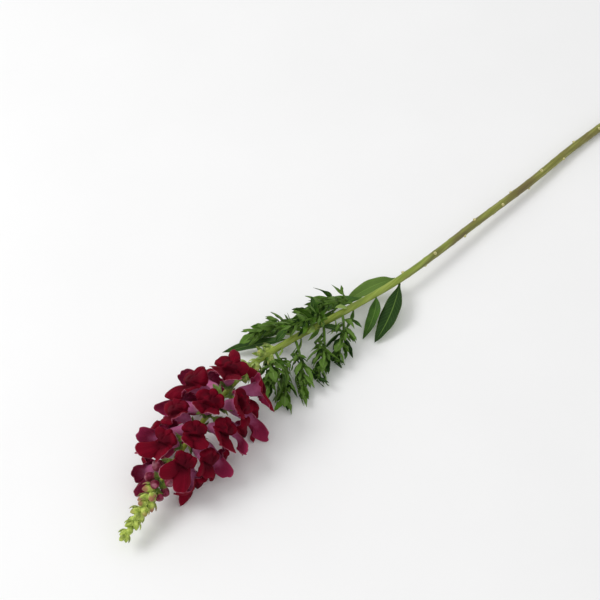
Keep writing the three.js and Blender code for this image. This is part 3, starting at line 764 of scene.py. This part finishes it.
# %% Leaf scars
def egg(axes, length, width, girth, around=24, rows=20, shape=None, tone=0.0):
    """An egg standing on its root. girth rows are [share of length, share of width]."""
    h = np.linspace(0, 1, rows)[:, None]
    a = np.arange(around)[None, :] * 360 / around
    radius = np.maximum(eased(girth, h), 0) * width / 2 * (1 if shape is None else shape(a, h))
    reach = girth[-1][0] * length
    spots = in_axes(axes, *circle(radius, a), h * reach)
    return skin(spots, stacked(a / 360, h, 0.0), tone=tone, closes=1.0)


SCAR_TURN, SCAR_LEAN, SCAR_SUNK = 65, 38, 0.55
SCAR_GIRTH = [[0, 0.3], [0.3, 0.8], [0.55, 1], [0.8, 0.7], [1, 0]]


def scars():
    made = []
    for i, s in enumerate(scar_s):
        at, radius = along(s), stalk_radius(s)
        out = outward(at, SCAR_TURN + GOLDEN_ANGLE * i, SCAR_LEAN)
        axes = growth_axes(at["point"] + out * radius * SCAR_SUNK, out, at["tipward"])
        length = SCARS["length"] + radius * (1 - SCAR_SUNK)
        made.append(egg(axes, length, SCARS["width"], SCAR_GIRTH, around=18, rows=12))
    return made


leaf_scars = scars()
print(len(leaf_scars), "scars")

# %% [markdown]
# The stalk is yellow green near the flowers and turns olive towards the cut. On its part towards the
# cut lie brown patches, drawn out lengthwise, so their noise is stretched along the stem. Scars
# are pale and corky, with a dry brown point.

# %% Stalk and scar finishes
def stalk_finish():
    finish = Finish("stalk_skin", "stalk", specular_ior_level=0.45)
    _, run, cut = finish.place()
    streaks = finish.noise(420, 3, stretch=(0.06, 1, 1))
    patches = finish.noise(30, 3, stretch=(0.5, 1.4, 1.4))
    grain = finish.noise(1500, 2, stretch=(0.25, 1, 1))
    green = finish.blend("a8ba42", "889c34", run.between(0.08, 0.35))
    green = finish.blend(green, "7d7c30", run.between(0.42, 0.8))
    green = finish.blend(green, "b0b866", streaks.between(0.5, 0.75) * 0.5)
    green = finish.blend(green, "4e5c1e", streaks.between(0.52, 0.28) * 0.6)
    brown_patches = patches.between(0.48, 0.66) * run.between(0.35, 0.6) * 0.6
    green = finish.blend(green, "5e4430", brown_patches)
    pith = finish.blend("e4e8c4", "9fae5e", run.between(0.7, 0.95))
    skin_colour = finish.blend(green, pith, cut.between(0.4, 0.6))
    rough = streaks * 0.2 + 0.38
    return finish.coat(skin_colour, rough, streaks + grain * 0.4, 0.00022)


def scar_finish():
    finish = Finish("leaf_scar", "stalk", specular_ior_level=0.3)
    _, run, _ = finish.place()
    grain = finish.noise(1400, 3)
    tip = finish.blend("a3ae5a", "cfc98e", (run + grain * 0.4).between(0.35, 0.8))
    tip = finish.blend(tip, "7d6a44", (run + grain * 0.3).between(0.95, 1.2))
    return finish.coat(tip, grain * 0.3 + 0.5, grain, 0.0002)


piece("stalk_skin", [stalk_skin], stalk_finish(), "stalk")
piece("leaf_scars", leaf_scars, scar_finish(), "stalk")
print("stalk dressed")

# %% [markdown]
# ## Calyxes
#
# Each flower sits on a short stalk of its own, the pedicel, in a cup of five pointed sepals. The cup
# is one sheet again: its rim rises and falls five times round the flower.

# %% Calyxes
CALYX = {"foot": 0.4, "length": 7.2, "valley": 2.4, "thickness": 0.4}
CUP_SHAPE = [[0.4, 3.3], [1.6, 3.9], [2.4, 4.1], [5, 5.6], [7.2, 6.9]]
CALYX_SIDES, CALYX_ROWS, SEPAL_ANGLE = 60, 9, 72
NECK = [(1.25, -2.4), (1.3, -1.4)]  # radius and height of the pedicel's rings under the cup


def calyx(growing, tone):
    at, axes, size = growing["at"], growing["axes"], growing["size"]
    a = np.arange(CALYX_SIDES)[None, :] * 360 / CALYX_SIDES
    across = np.abs((a / SEPAL_ANGLE + 0.5) % 1 - 0.5) * 2
    sepal = np.floor(a / SEPAL_ANGLE + 0.5) % 5
    tip = CALYX["length"] * (1 + 0.12 * scatter(sepal + 100 * tone))
    rim = mix(tip, CALYX["valley"], across**1.25)
    v = np.linspace(0, 1, CALYX_ROWS)[:, None]
    height = mix(CALYX["foot"], rim, v)
    ridge = 0.28 * bump(across, 0, 0.25) + 0.25 * smoothstep(height, 4, 7)
    outer = eased(CUP_SHAPE, height) + ridge
    inner = outer - CALYX["thickness"] * (1 - 0.4 * v)

    def ring(radius, h):
        return in_axes(axes, *circle(radius, a), h)

    neck = [*(ring(*row) for row in NECK), ring(1.7 + size, -0.6)]
    start = np.broadcast_to(at["point"], neck[0].shape)
    middle = mix(start, neck[0], 0.5)
    spots = np.concatenate([
        start, middle, *neck, ring(outer * size, height * size),
        ring(inner * size, height * size)[::-1], ring(0.01, 0.3),
    ])  # fmt: skip
    v_out = np.concatenate([np.full((2 + len(neck), 1), -0.2), v, v[::-1], [[0.0]]])
    inside_rows = CALYX_ROWS + 1
    face = (np.arange(len(v_out)) >= len(v_out) - inside_rows).astype(float)[:, None]
    return skin(spots, stacked(across, v_out, face), tone=tone)


print("a calyx stands", CALYX["length"], "mm high")

# %% [markdown]
# ## Buds
#
# Coloured buds are the next flowers, still folded: a fat pillow with the upper lip lapped over the
# lower one, so a seam runs down each side from the tip. The folds lie alike on every bud, so they
# are a formula that dents an egg, which is less work than sculpting nine of them.

# %% Coloured buds
BUD_COUNT, BUD_FIRST, BUD_STEP = 9, 77, 3.1
BUD_LENGTH, BUD_WIDTH, BUD_PEDICEL = (11, 17), 0.62, 3.5
BUD_LEAN, BUD_SIZE = (30, 44), (0.86, 0.6)  # of the oldest and the youngest
BUD_GIRTH = [[0, 0.2], [0.16, 0.42], [0.4, 0.8], [0.68, 1], [0.9, 0.74], [1, 0]]


def coloured_buds():
    made = []
    for i in range(BUD_COUNT):
        youth = i / (BUD_COUNT - 1)
        s = BUD_FIRST - i * BUD_STEP
        at = along(s)
        turn = FLOWER_TURN + GOLDEN_ANGLE * (FLOWER_COUNT + i)
        out = outward(at, turn, mix(*BUD_LEAN, youth))
        size = mix(*BUD_SIZE, youth)
        root = at["point"] + out * (stalk_radius(s) + BUD_PEDICEL * size)
        axes = growth_axes(root, out, at["tipward"])
        length = mix(BUD_LENGTH[1], BUD_LENGTH[0], youth)
        made.append({"at": at, "axes": axes, "size": size, "length": length, "youth": youth})
    return made


def folded(a, h):
    """The relief of a folded bud: seams down its sides, two cushions below, pleats at the tip."""
    fold = np.where(a > 180, 360 - a, a)
    seam = 0.13 * bump(fold, 78 - 25 * h, 11) * smoothstep(h, 0.25, 0.7)
    lap = 0.05 * smoothstep(fold, 95, 60) * smoothstep(h, 0.3, 0.7)
    cushions = 0.06 * bump(fold, 145, 28) * bump(h, 0.62, 0.18)
    pleats = 0.05 * np.cos(np.radians(a * 6)) * smoothstep(h, 0.6, 0.95)
    return 0.96 - seam + lap + cushions + pleats


buds = coloured_buds()
bud_skins = [
    egg(b["axes"], b["length"], b["length"] * BUD_WIDTH, BUD_GIRTH, 48, 30, folded, b["youth"])
    for b in buds
]  # fmt: skip
print(len(buds), "coloured buds")

# %% [markdown]
# A bud colours from its tip downwards, and a young one is still green at its foot. One finish serves
# them all, because each bud's tone moves the border between green and crimson.

# %% Bud finish
def bud_finish():
    finish = Finish("folded_petal", "bud", specular_ior_level=0.25)
    turn, run, _ = finish.place()
    cloud = finish.noise(260, 3)
    veins = (turn * (2 * np.pi * 26) + cloud * 4).sine().between(0.2, 1)
    open_part = run + cloud * 0.3 - finish.tone() * 0.28
    base = finish.blend("9cb050", "9c3858", open_part.between(0.22, 0.42))
    base = finish.blend(base, "700e2c", open_part.between(0.36, 0.56) * cloud.between(0.66, 0.46))
    base = finish.blend(base, "4e0a22", veins * open_part.between(0.3, 0.6) * 0.45)
    base = finish.blend(base, "d8a0ac", (run + cloud * 0.3).between(1.0, 1.18) * 0.45)
    return finish.coat(base, cloud * 0.25 + 0.38, cloud + veins * 0.5, 0.0003)


folded_petal = bud_finish()
for i, made in enumerate(bud_skins):
    piece(f"bud_{i + 1:02d}_petals", [made], folded_petal, f"bud_{i + 1:02d}")
print("buds dressed")

# %% [markdown]
# Now every flower and coloured bud gets its calyx. They are all the stalk's own green, so they make
# one piece that stands for the stalk's node, as the CAD solid has them fused to the stalk.

# %% Green finish
def green_finish(name, slot, deep, pale, tip, tip_from, youth=1.0):
    """Soft green of young growth, veined lengthwise. Pieces of less than that youth have tips of
    another colour."""
    finish = Finish(name, slot, specular_ior_level=0.35, sheen_weight=0.15)
    turn, run, inner = finish.place()
    cloud = finish.noise(300, 3)
    grain = finish.noise(1300, 2)
    ribs = (turn * (2 * np.pi * 10) + cloud * 3).sine().between(0.2, 1)
    green = finish.blend(deep, pale, cloud.between(0.35, 0.65))
    green = finish.blend(green, pale, ribs * 0.35)
    tips = (run + cloud * 0.3).between(tip_from, tip_from + 0.3)
    old = finish.tone().between(youth, youth - 0.4)
    green = finish.blend(green, tip, tips * old * 0.85)
    green = finish.blend(green, deep, inner * 0.4)
    return finish.coat(green, cloud * 0.2 + 0.42, ribs * 0.4 + grain * 0.5 + cloud, 0.00025)


calyxes = [calyx(growing, 0.0) for growing in flowers] + [calyx(b, b["youth"]) for b in buds]
calyx_green = green_finish("calyx_green", "stalk", "5c7c28", "9ab84a", "8a6a48", 0.95)
piece("calyxes", calyxes, calyx_green, "stalk")
print(len(calyxes), "calyxes dressed")

# %% [markdown]
# ## Leaves
#
# Leaves, bracts and the leaves of side shoots are all blades of one recipe. A blade runs along a
# curved midrib. Its edges are lifted in a shallow trough, one edge rises while the other sinks, and
# the midrib is sunk in the upper face and stands out under it. A flat card with a leaf painted on it
# would look flat from the side, so a blade has two faces and an edge.

# %% Blades
ACROSS = 9
BLADE_THIN = 0.4
LEAF_OUTLINE = [[0.06, 0.14], [0.2, 0.55], [0.4, 0.96], [0.6, 0.98], [0.8, 0.66], [0.93, 0.3]]
SMALL_OUTLINE = [[0.1, 0.35], [0.45, 1], [0.8, 0.6]]


def bezier(root, bend, tip, t):
    return (1 - t) ** 2 * root + 2 * t * (1 - t) * bend + t**2 * tip


def bezier_run(root, bend, tip, t):
    return unit((1 - t) * (bend - root) + t * (tip - bend))


def blade(
    root, bend, tip, face, width, outline, rows=24, fold=0.25, wave=0.0, walls=(TABLE,), tone=0.0
):
    """A leaf from root to tip with its upper side towards face, kept out of the walls."""
    t, x = np.linspace(0, 1, rows)[:, None], np.linspace(-1, 1, ACROSS)[None, :]
    run = bezier_run(root, bend, tip, t)
    right = unit(np.cross(run, face))
    up = np.cross(right, run)[:, None]
    share = np.maximum(eased([[0, 0.12], *outline, [1, 0]], t), 0)
    half = share * width / 2
    waver = 0.04 * width * share * np.abs(x) ** 3 * np.sin(t * 19 + 2 * x + 9 * tone)
    groove = 0.03 * width * share * bump(x, 0, 0.16)
    trough = fold * half * np.abs(x) ** 1.4
    lift = trough + wave * np.sin(3 * np.pi * t) * share * x + waver - groove
    middle = bezier(root, bend, tip, t)[:, None]
    top = middle + right[:, None] * (half * x)[..., None] + up * lift[..., None]
    top = mix(top, pressed(top, walls), np.minimum(2.5 * t, 1)[..., None])
    depth = BLADE_THIN * (1 - 0.6 * x**4) * (0.5 + 0.5 * share) + 0.5 * share * bump(x, 0, 0.13)
    under = top - up * depth[..., None]
    spots = np.concatenate([top, under[:, ::-1]], axis=1)
    spots[..., 2] = np.maximum(spots[..., 2], 0.02)
    place = np.concatenate([stacked(x, t, 1.0), stacked(x[:, ::-1], t, 0.0)], axis=1)
    return skin(spots, place, tone=tone)


print("blades have", 2 * ACROSS, "points round them")

# %% [markdown]
# Eight large leaves are left on the middle of the stalk. Growers strip the rest. They have wilted a
# little, so they lie back along the stem and on the table.

# %% Large leaves
LEAVES = [
    [392, 70, (362, 30, 20), (332, 39, 9), 15],
    [392, -95, (352, -8, 12), (317, -13, 3), 18],
    [360, -75, (345, 6, 12), (312, -2, 3), 12],
    [286, -60, (290, 18, 31), (294, 4, 22), 7],
    [286, 30, (286, 36, 38), (292, 48, 46), 8],
    [350, 100, (322, 50, 10), (284, 66, 4), 15],
    [306, 110, (280, 62, 8), (232, 80, 3), 14],
    [256, 100, (238, 66, 11), (206, 86, 6), 11],
]  # distance from the tip, turn, bend, tip, width
LEAF_LEAN, LEAF_SUNK, LEAF_ROWS, LEAF_FOLD, LEAF_WAVE = 25, 0.4, 44, 0.22, 0.8


def large_leaf(i, s, turn, bend, tip, width):
    at = along(s)
    out = outward(at, turn, LEAF_LEAN)
    root = at["point"] + out * (stalk_radius(s) - LEAF_SUNK)
    face = UP - 0.2 * out
    return blade(
        root, np.array(bend), np.array(tip), face, width, LEAF_OUTLINE,
        LEAF_ROWS, LEAF_FOLD, LEAF_WAVE, tone=luck(i + 1),
    )  # fmt: skip


large_leaves = [large_leaf(i, *row) for i, row in enumerate(LEAVES)]
print(len(large_leaves), "large leaves")

# %% [markdown]
# A leaf is darker above, where its green cells stand close, and paler and duller below. The midrib
# is pale, and finer veins leave it at a slant and run towards the tip. On place, a slanted vein is
# a stripe of t minus a share of |x|. The relief uses the same stripes, so colour and form agree.
# Old and young leaves differ in green, so each blade's tone shifts it, and the palest few fade. The
# same tone also paints light and shade: some blades are brighter as if sunlit, others darker as if
# in shade.

# %% Leaf finish
def leaf_finish(name, slot, deep, fresh_and_sunlit, under):
    finish = Finish(name, slot, specular_ior_level=0.2)
    x, run, upper = finish.place()
    cloud = finish.noise(110, 3)
    grain = finish.noise(1100, 2)
    midrib = x.size().between(0.1, 0.02) * run.between(1.0, 0.8)
    slant = (run * 15 - x.size() * 2.4 + cloud * 0.5) * (2 * np.pi)
    vein = slant.sine().between(0.86, 1) * x.size().between(1.0, 0.6)
    # painted light and shade besides age: the tone makes some blades brighter as if sunlit and others
    # darker as if shaded
    top = finish.blend(deep, fresh_and_sunlit, (cloud * 0.6 + finish.tone() * 0.6).between(0.35, 0.95))
    top = finish.blend(top, under, finish.tone().between(0.82, 0.95) * (cloud * 0.5 + 0.5))
    top = finish.blend(top, "7fa24a", midrib * 0.5)
    top = finish.blend(top, "628a3c", vein * 0.22)
    top = finish.blend(top, "7f8f3e", x.size().between(0.9, 1.0) * 0.4)
    back = finish.blend(under, "92ac66", midrib)
    back = finish.blend(back, "86a25c", vein * 0.4)
    leaf = finish.blend(back, top, upper.between(0.4, 0.6))
    rough = upper * -0.12 + 0.55 + cloud * 0.1
    return finish.coat(leaf, rough, cloud - vein * 0.7 - midrib + grain * 0.35, 0.0003)


leaf_green = leaf_finish("leaf_green", "leaf", "1e3c0a", "4a741c", "647c38")
for i, made in enumerate(large_leaves):
    piece(f"leaf_{i + 1:02d}_blade", [made], leaf_green, f"leaf_{i + 1:02d}")
print("large leaves dressed")

# %% [markdown]
# Eight thin leafy shoots grow from the axils below the flowers, each along a bent line of its own.
# They lie close together. So there are walls halfway between them, as between the flowers, one
# beside the stalk and one over what lies below.

# %% Where the shoots grow
SHOOTS = [
    [318, -75, (298, 6, 15), (270, -3, 9), 0],
    [295, -80, (270, 7, 13), (243, -5, 8), 0],
    [261, -85, (242, 9, 13), (220, -5, 8), 0],
    [302, 5, (276, 34, 43), (248, 38, 46), 0],
    [336, 70, (310, 42, 30), (284, 50, 27), 17],
    [282, 75, (260, 60, 27), (232, 69, 25), 17],
    [236, -80, (226, 16, 13), (205, 4, 7), 0],
    [224, -60, (216, 21, 22), (198, 19, 19), 0],
]  # distance from the tip, turn, bend, tip, floor
shoot_middles = [(np.array(bend) + np.array(tip)) / 2 for _, _, bend, tip, _ in SHOOTS]


def shoot_walls(k):
    """Planes that keep a shoot's leaves off the other shoots, the stalk and what is below."""
    s, _, _, _, floor = SHOOTS[k]
    middle = shoot_middles[k]
    others = [other for j, other in enumerate(shoot_middles) if j != k]
    walls = [wall_between(middle, other, SOLID_BLADE + CLEARANCE / 2) for other in others]
    beside = along(s - np.linalg.norm(middle - along(s)["point"]) * 0.8)["point"]
    off = unit(middle - beside)
    walls.append((off, off @ beside + stalk_radius(s) + SOLID_BLADE + CLEARANCE))
    walls.append((UP, floor) if floor else TABLE)
    return walls


print(len(shoot_walls(0)), "walls round each shoot")

# %% [markdown]
# A shoot is a thin rod with leaves all round it, each turned by the golden angle from the last. They
# close towards its end. Small narrow leaves fill in between, each bowed, turned and opened in its
# own way, because a real shoot has no two leaves alike.

# %% Side shoots
SHOOT_RADIUS = [1.4, 1.2, 1, 0.8]
SHOOT_LEAN, SHOOT_SUNK = 30, 0.5
SHOOT_LEAF = {"count": 8, "first": 0.3, "length": 23, "width": 8.5, "open": 54, "bow": 1.5}
# Of a small leaf, length, width and open are shares of a main leaf's.
SMALL_LEAF = {"length": 0.8, "width": 0.55, "open": 1.15, "bow": 2.0, "wave": 1.4}
BETWEEN = 3  # small leaves between two of the main ones
NEAR_STALK = 7  # small leaves between the stalk and the first of the main ones


def rod(points, radii, around=12):
    """A round stem along points."""
    run = unit(np.gradient(points, axis=0))
    side = unit(np.cross(run, UP))
    up = np.cross(side, run)
    a = np.radians(np.arange(around) * 360 / around)[None, :, None]
    radii = np.asarray(radii, float)[:, None, None]
    spots = points[:, None] + (up[:, None] * np.cos(a) + side[:, None] * np.sin(a)) * radii
    t = np.linspace(0, 1, len(points))[:, None]
    return skin(spots, stacked(1.0, t, np.zeros(around)))


def side_shoot(k):
    s, turn, bend, tip, _ = SHOOTS[k]
    at = along(s)
    root = at["point"] + outward(at, turn, SHOOT_LEAN) * (stalk_radius(s) - SHOOT_SUNK)
    axis = (root, np.array(bend), np.array(tip))
    walls = shoot_walls(k)
    t = np.linspace(0, 1, 26)[:, None]
    radii = np.interp(t[:, 0], np.linspace(0, 1, len(SHOOT_RADIUS)), SHOOT_RADIUS)
    made = [rod(bezier(*axis, t), radii)]
    for part in range(-NEAR_STALK, (BETWEEN + 1) * (SHOOT_LEAF["count"] - 1) + 1):
        i = part / (BETWEEN + 1)
        small = part < 0 or part % (BETWEEN + 1) > 0
        t = mix(SHOOT_LEAF["first"], 1, i / (SHOOT_LEAF["count"] - 1))
        run = bezier_run(*axis, t)
        side = unit(np.cross(run, UP))
        spin = np.radians(s + GOLDEN_ANGLE * i + 180 * small)
        radial = np.cross(side, run) * np.cos(spin) + side * np.sin(spin)
        spread = np.radians(SHOOT_LEAF["open"] * mix(1, 0.5, t))
        length = SHOOT_LEAF["length"] * mix(1.1, 0.75, t) * (1 + 0.15 * scatter(i + s))
        here, width, bow, face = bezier(*axis, t), SHOOT_LEAF["width"], SHOOT_LEAF["bow"], run
        if small:
            length = length * (SMALL_LEAF["length"] + 0.25 * scatter(part + 9))
            width = width * SMALL_LEAF["width"]
            bow = SMALL_LEAF["bow"] + 0.9 * scatter(part + k)
            spread = spread * (SMALL_LEAF["open"] + 0.5 * scatter(7 * part + k))
            face = run + np.cross(radial, run) * scatter(5 * part + k)
        middle = here + (run * np.cos(spread * bow) + radial * np.sin(spread * bow)) * length / 2
        end = here + (run * np.cos(spread) + radial * np.sin(spread)) * length
        made.append(blade(
            here - 0.8 * run, middle, end, face, width, SMALL_OUTLINE, 22,
            wave=SMALL_LEAF["wave"] * small, walls=walls, tone=luck(3 * part + k),
        ))  # fmt: skip
    return made


shoot_green = leaf_finish("shoot_green", "leaf", "1c400e", "6c9a2a", "5e8030")
for k in range(len(SHOOTS)):
    piece(f"side_shoot_{k + 1:02d}_leaves", side_shoot(k), shoot_green, f"side_shoot_{k + 1:02d}")
print(len(SHOOTS), "side shoots dressed")

# %% [markdown]
# ## The small parts of the spike
#
# Every flower grew in the axil of a small leaf, its bract. Under the lowest flowers the spike has
# already lost some. There a round green seed pod is left, and its five sepals stand off it. All are
# eggs and blades, so nothing new is needed.

# %% Bracts and spent flowers
BRACT_LENGTH = [[200, 10], [240, 13], [330, 25]]
BRACT_WIDTH = 0.3  # of its length
POD_TURN, POD_LEAN, POD_SUNK = 100, 42, 0.4
# Of a pod's sepal, width is in millimetres, and length, bow and open are shares of the pod's size.
POD_SEPAL = {"count": 5, "width": 4.2, "length": 1.05, "bow": 0.75, "open": 0.8}
POD_GIRTH = [[0, 0.4], [0.12, 0.72], [0.5, 1], [0.85, 0.72], [0.96, 0.3], [1, 0]]


def bracts():
    made = []
    for i, s in enumerate(bract_s):
        at = along(s)
        radius = stalk_radius(s)
        turn = BRACTS["turn"] + GOLDEN_ANGLE * i
        length = np.interp(s, *zip(*BRACT_LENGTH)) * (1 + 0.15 * scatter(i + 60))
        root = at["point"] + outward(at, turn) * radius * 0.3
        bend = at["point"] + outward(at, turn, 12) * (radius + length * 0.45)
        tip = at["point"] + outward(at, turn, 46) * (radius + length)
        made.append(blade(
            root, bend, tip, at["tipward"], length * BRACT_WIDTH, SMALL_OUTLINE,
            tone=luck(i),
        ))  # fmt: skip
    return made


def five_ribs(a, h):
    """The relief of a shut calyx: five sepals that meet in furrows."""
    seam = np.abs((a / 72) % 1 - 0.5) * 2
    furrow = 0.16 * smoothstep(seam, 0.55, 1) * smoothstep(h, 0.05, 0.35)
    return 1.02 - furrow + 0.05 * bump(seam, 0, 0.2)


def pods():
    made = []
    for i in range(KNOBS["count"]):
        s = KNOBS["first"] - i * KNOBS["step"]
        at = along(s)
        out = outward(at, POD_TURN + GOLDEN_ANGLE * i, POD_LEAN)
        root = at["point"] + out * stalk_radius(s) * POD_SUNK
        axes = growth_axes(root, out, at["tipward"])
        length = KNOBS["length"] * (1 + 0.15 * scatter(i + 40)) + stalk_radius(s)
        width, tone = KNOBS["width"], i / KNOBS["count"]
        made.append(egg(axes, length, width, POD_GIRTH, 40, 24, five_ribs, tone))
        for k in range(POD_SEPAL["count"]):
            a = 360 / POD_SEPAL["count"] * (k + 0.5)
            side = axes["right"] * np.cos(np.radians(a)) + axes["up"] * np.sin(np.radians(a))
            open_by = POD_SEPAL["open"] + 0.3 * scatter(5 * i + k)
            foot = root + out * 1.5 + side * 0.8
            bend = root + out * length * 0.5 + side * width * POD_SEPAL["bow"]
            tip = root + out * length * POD_SEPAL["length"] + side * width * open_by
            made.append(blade(foot, bend, tip, out, POD_SEPAL["width"], SMALL_OUTLINE, 14, tone=tone))
    return made


bract_green = leaf_finish("bract_green", "stalk", "527a26", "8cae44", "98b45c")
pod_green = green_finish("pod_green", "stalk", "7f9c38", "bccc68", "a89a58", 0.95)
piece("bracts", bracts(), bract_green, "stalk")
piece("spent_flowers", pods(), pod_green, "stalk")
print(len(bract_s), "bracts and", KNOBS["count"], "spent flowers dressed")

# %% [markdown]
# At the very tip the buds are still shut in their green calyxes, with ribs where the sepals meet.
# Each has a bract folded round its outer side, so the tip looks like a cluster of scales.

# %% Green buds at the tip
GREEN_COUNT, GREEN_FIRST, GREEN_LENGTH, GREEN_WIDTH = 19, 50, (8.5, 13.5), 0.56
GREEN_LEAN = (62, 40)  # degrees, at the tip and at the coloured buds
GREEN_GIRTH = [[0, 0.3], [0.12, 0.72], [0.45, 1], [0.75, 0.74], [0.92, 0.32], [1, 0]]


def tip_buds():
    made = []
    for i in range(GREEN_COUNT):
        youth = i / (GREEN_COUNT - 1)
        s = GREEN_FIRST * (1 - youth) + 1
        at = along(s)
        turn = FLOWER_TURN + GOLDEN_ANGLE * (FLOWER_COUNT + BUD_COUNT + i)
        lean = mix(GREEN_LEAN[1], GREEN_LEAN[0], youth)
        out = outward(at, turn, lean)
        axes = growth_axes(at["point"] + out * stalk_radius(s) * 0.3, out, at["tipward"])
        length = mix(GREEN_LENGTH[1], GREEN_LENGTH[0], youth)
        width = length * GREEN_WIDTH
        made.append(egg(axes, length, width, GREEN_GIRTH, 40, 22, five_ribs, tone=youth))
        foot = at["point"] + outward(at, turn, lean - 40) * stalk_radius(s) * 0.6
        bend = axes["root"] + out * length * 0.5 - axes["up"] * width * 0.95
        tip = axes["root"] + out * length * 0.98 - axes["up"] * width * 0.5
        made.append(blade(foot, bend, tip, axes["up"], width * 0.7, SMALL_OUTLINE, 16, tone=youth))
    return made


tip_green = green_finish("tip_green", "stalk", "88a032", "c4d464", "9a4a48", 0.72, youth=0.6)
piece("tip_buds", tip_buds(), tip_green, "stalk")
print(GREEN_COUNT, "green buds dressed")

# %% [markdown]
# Short glandular hairs cover the stalk among the flowers and make it feel sticky. Hair curves would
# be lost in an export, so each hair is a slim three-sided spike of its own in one mesh.

# %% Hairs
HAIR_COUNT, HAIR_FIRST, HAIR_RADIUS = 2600, 236, 0.04
HAIR_LEAN, HAIR_LENGTH = (-25, 35), (0.45, 0.9)


def hairs():
    s = chance.uniform(2, HAIR_FIRST, HAIR_COUNT)
    turn, lean = chance.uniform(0, 360, HAIR_COUNT), chance.uniform(*HAIR_LEAN, HAIR_COUNT)
    length = chance.uniform(*HAIR_LENGTH, HAIR_COUNT)[:, None]
    at = along(s)
    foot = at["point"] + outward(at, turn[:, None]) * (stalk_radius(s)[:, None] - 0.1)
    out = outward(at, turn[:, None], lean[:, None])
    side = unit(np.cross(out, at["tipward"]))
    other = np.cross(out, side)
    corners = [np.radians(120 * k) for k in range(3)]
    base = [foot + (side * np.cos(a) + other * np.sin(a)) * HAIR_RADIUS for a in corners]
    points = np.stack([*base, foot + out * length], 1).reshape(-1, 3)
    start = np.arange(HAIR_COUNT)[:, None, None] * 4
    tris = (start + np.array([[0, 2, 1], [0, 1, 3], [1, 2, 3], [2, 0, 3]])).reshape(-1, 3)
    return {
        "points": points, "quads": np.zeros((0, 4), int), "tris": tris,
        "places": np.zeros((len(tris) * 3, 3)), "tones": np.zeros(len(points)),
    }  # fmt: skip


hair_green = green_finish("hair_green", "stalk", "a5b070", "c9d0a0", "c9d0a0", 0.5)
piece("stalk_hairs", [hairs()], hair_green, "stalk")
print(HAIR_COUNT, "hairs")

# %% [markdown]
# ## Floor, light and camera
#
# The stem lies on plain white paper in soft daylight from the upper left, so its shadows are pale
# and fall to the lower right. A large lamp gives the soft edge of the shadow, and a bright world
# fills it.

# %% Floor and light
scene = bpy.context.scene
FLOOR_HALF = 14.0
WINDOW_PLACE, WINDOW_SIZE, WINDOW_POWER = Vector((-1.3, 1.2, 1.9)), 1.1, 26
SKY_STRENGTH = 0.72
floor_mesh = bpy.data.meshes.new("floor")
corners = [(-1, -1), (1, -1), (1, 1), (-1, 1)]
floor_corners = [(x * FLOOR_HALF, y * FLOOR_HALF, 0.0) for x, y in corners]
floor_mesh.from_pydata(floor_corners, [], [(0, 1, 2, 3)])
floor = bpy.data.objects.new("floor", floor_mesh)
scene.collection.objects.link(floor)
paper = Finish("paper", None, specular_ior_level=0.1)
paper.coat(paper.blend("f4f4f4", "fafafa", paper.noise(6, 3)), 0.9)
floor_mesh.materials.append(paper.material)
floor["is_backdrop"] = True

world = bpy.data.worlds.new("daylight")
scene.world = world
world.use_nodes = True
sky = world.node_tree.nodes["Background"]
sky.inputs["Color"].default_value = (1.0, 1.0, 1.0, 1.0)
sky.inputs["Strength"].default_value = SKY_STRENGTH
scene.view_settings.view_transform = "Standard"

window_light = bpy.data.lights.new("window", "AREA")
window_light.size, window_light.energy = WINDOW_SIZE, WINDOW_POWER
window = bpy.data.objects.new("window", window_light)
scene.collection.objects.link(window)
window.location = WINDOW_PLACE
window.rotation_euler = (-WINDOW_PLACE).to_track_quat("-Z", "Y").to_euler()
print("one lamp and a bright sky")

# %% [markdown]
# The camera looks down at half a right angle and a little more, across the stem, with a portrait
# lens. AIM is the point of the table in the middle of the picture.

# %% Camera
AIM = Vector((-0.0689, 0.0486, 0.0))
ELEVATION, HEADING, DISTANCE = np.radians(50.0), np.radians(47.3427), 1.42
away = Vector((np.sin(HEADING), np.cos(HEADING), 0.0))
camera_data = bpy.data.cameras.new("camera")
camera_data.lens, camera_data.sensor_width = 85, 36
camera = bpy.data.objects.new("camera", camera_data)
scene.collection.objects.link(camera)
rise = Vector((0.0, 0.0, np.sin(ELEVATION)))
camera.location = AIM + (rise - away * np.cos(ELEVATION)) * DISTANCE
camera.rotation_euler = (AIM - camera.location).to_track_quat("-Z", "Y").to_euler()
scene.camera = camera
print("camera at", [round(x, 3) for x in camera.location])

# %% [markdown]
# Finally the dressed stem is measured, and its box is printed beside the imported one's. Petals may
# stand proud of the solids by a few millimetres, and no more.

# %% Sizes
dressed_box = [list(corner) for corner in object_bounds()]
for label, (low, high) in {"packed": packed_box, "dressed": dressed_box}.items():
    print(label, [round((b - a) * 1000, 1) for a, b in zip(low, high)], "mm")
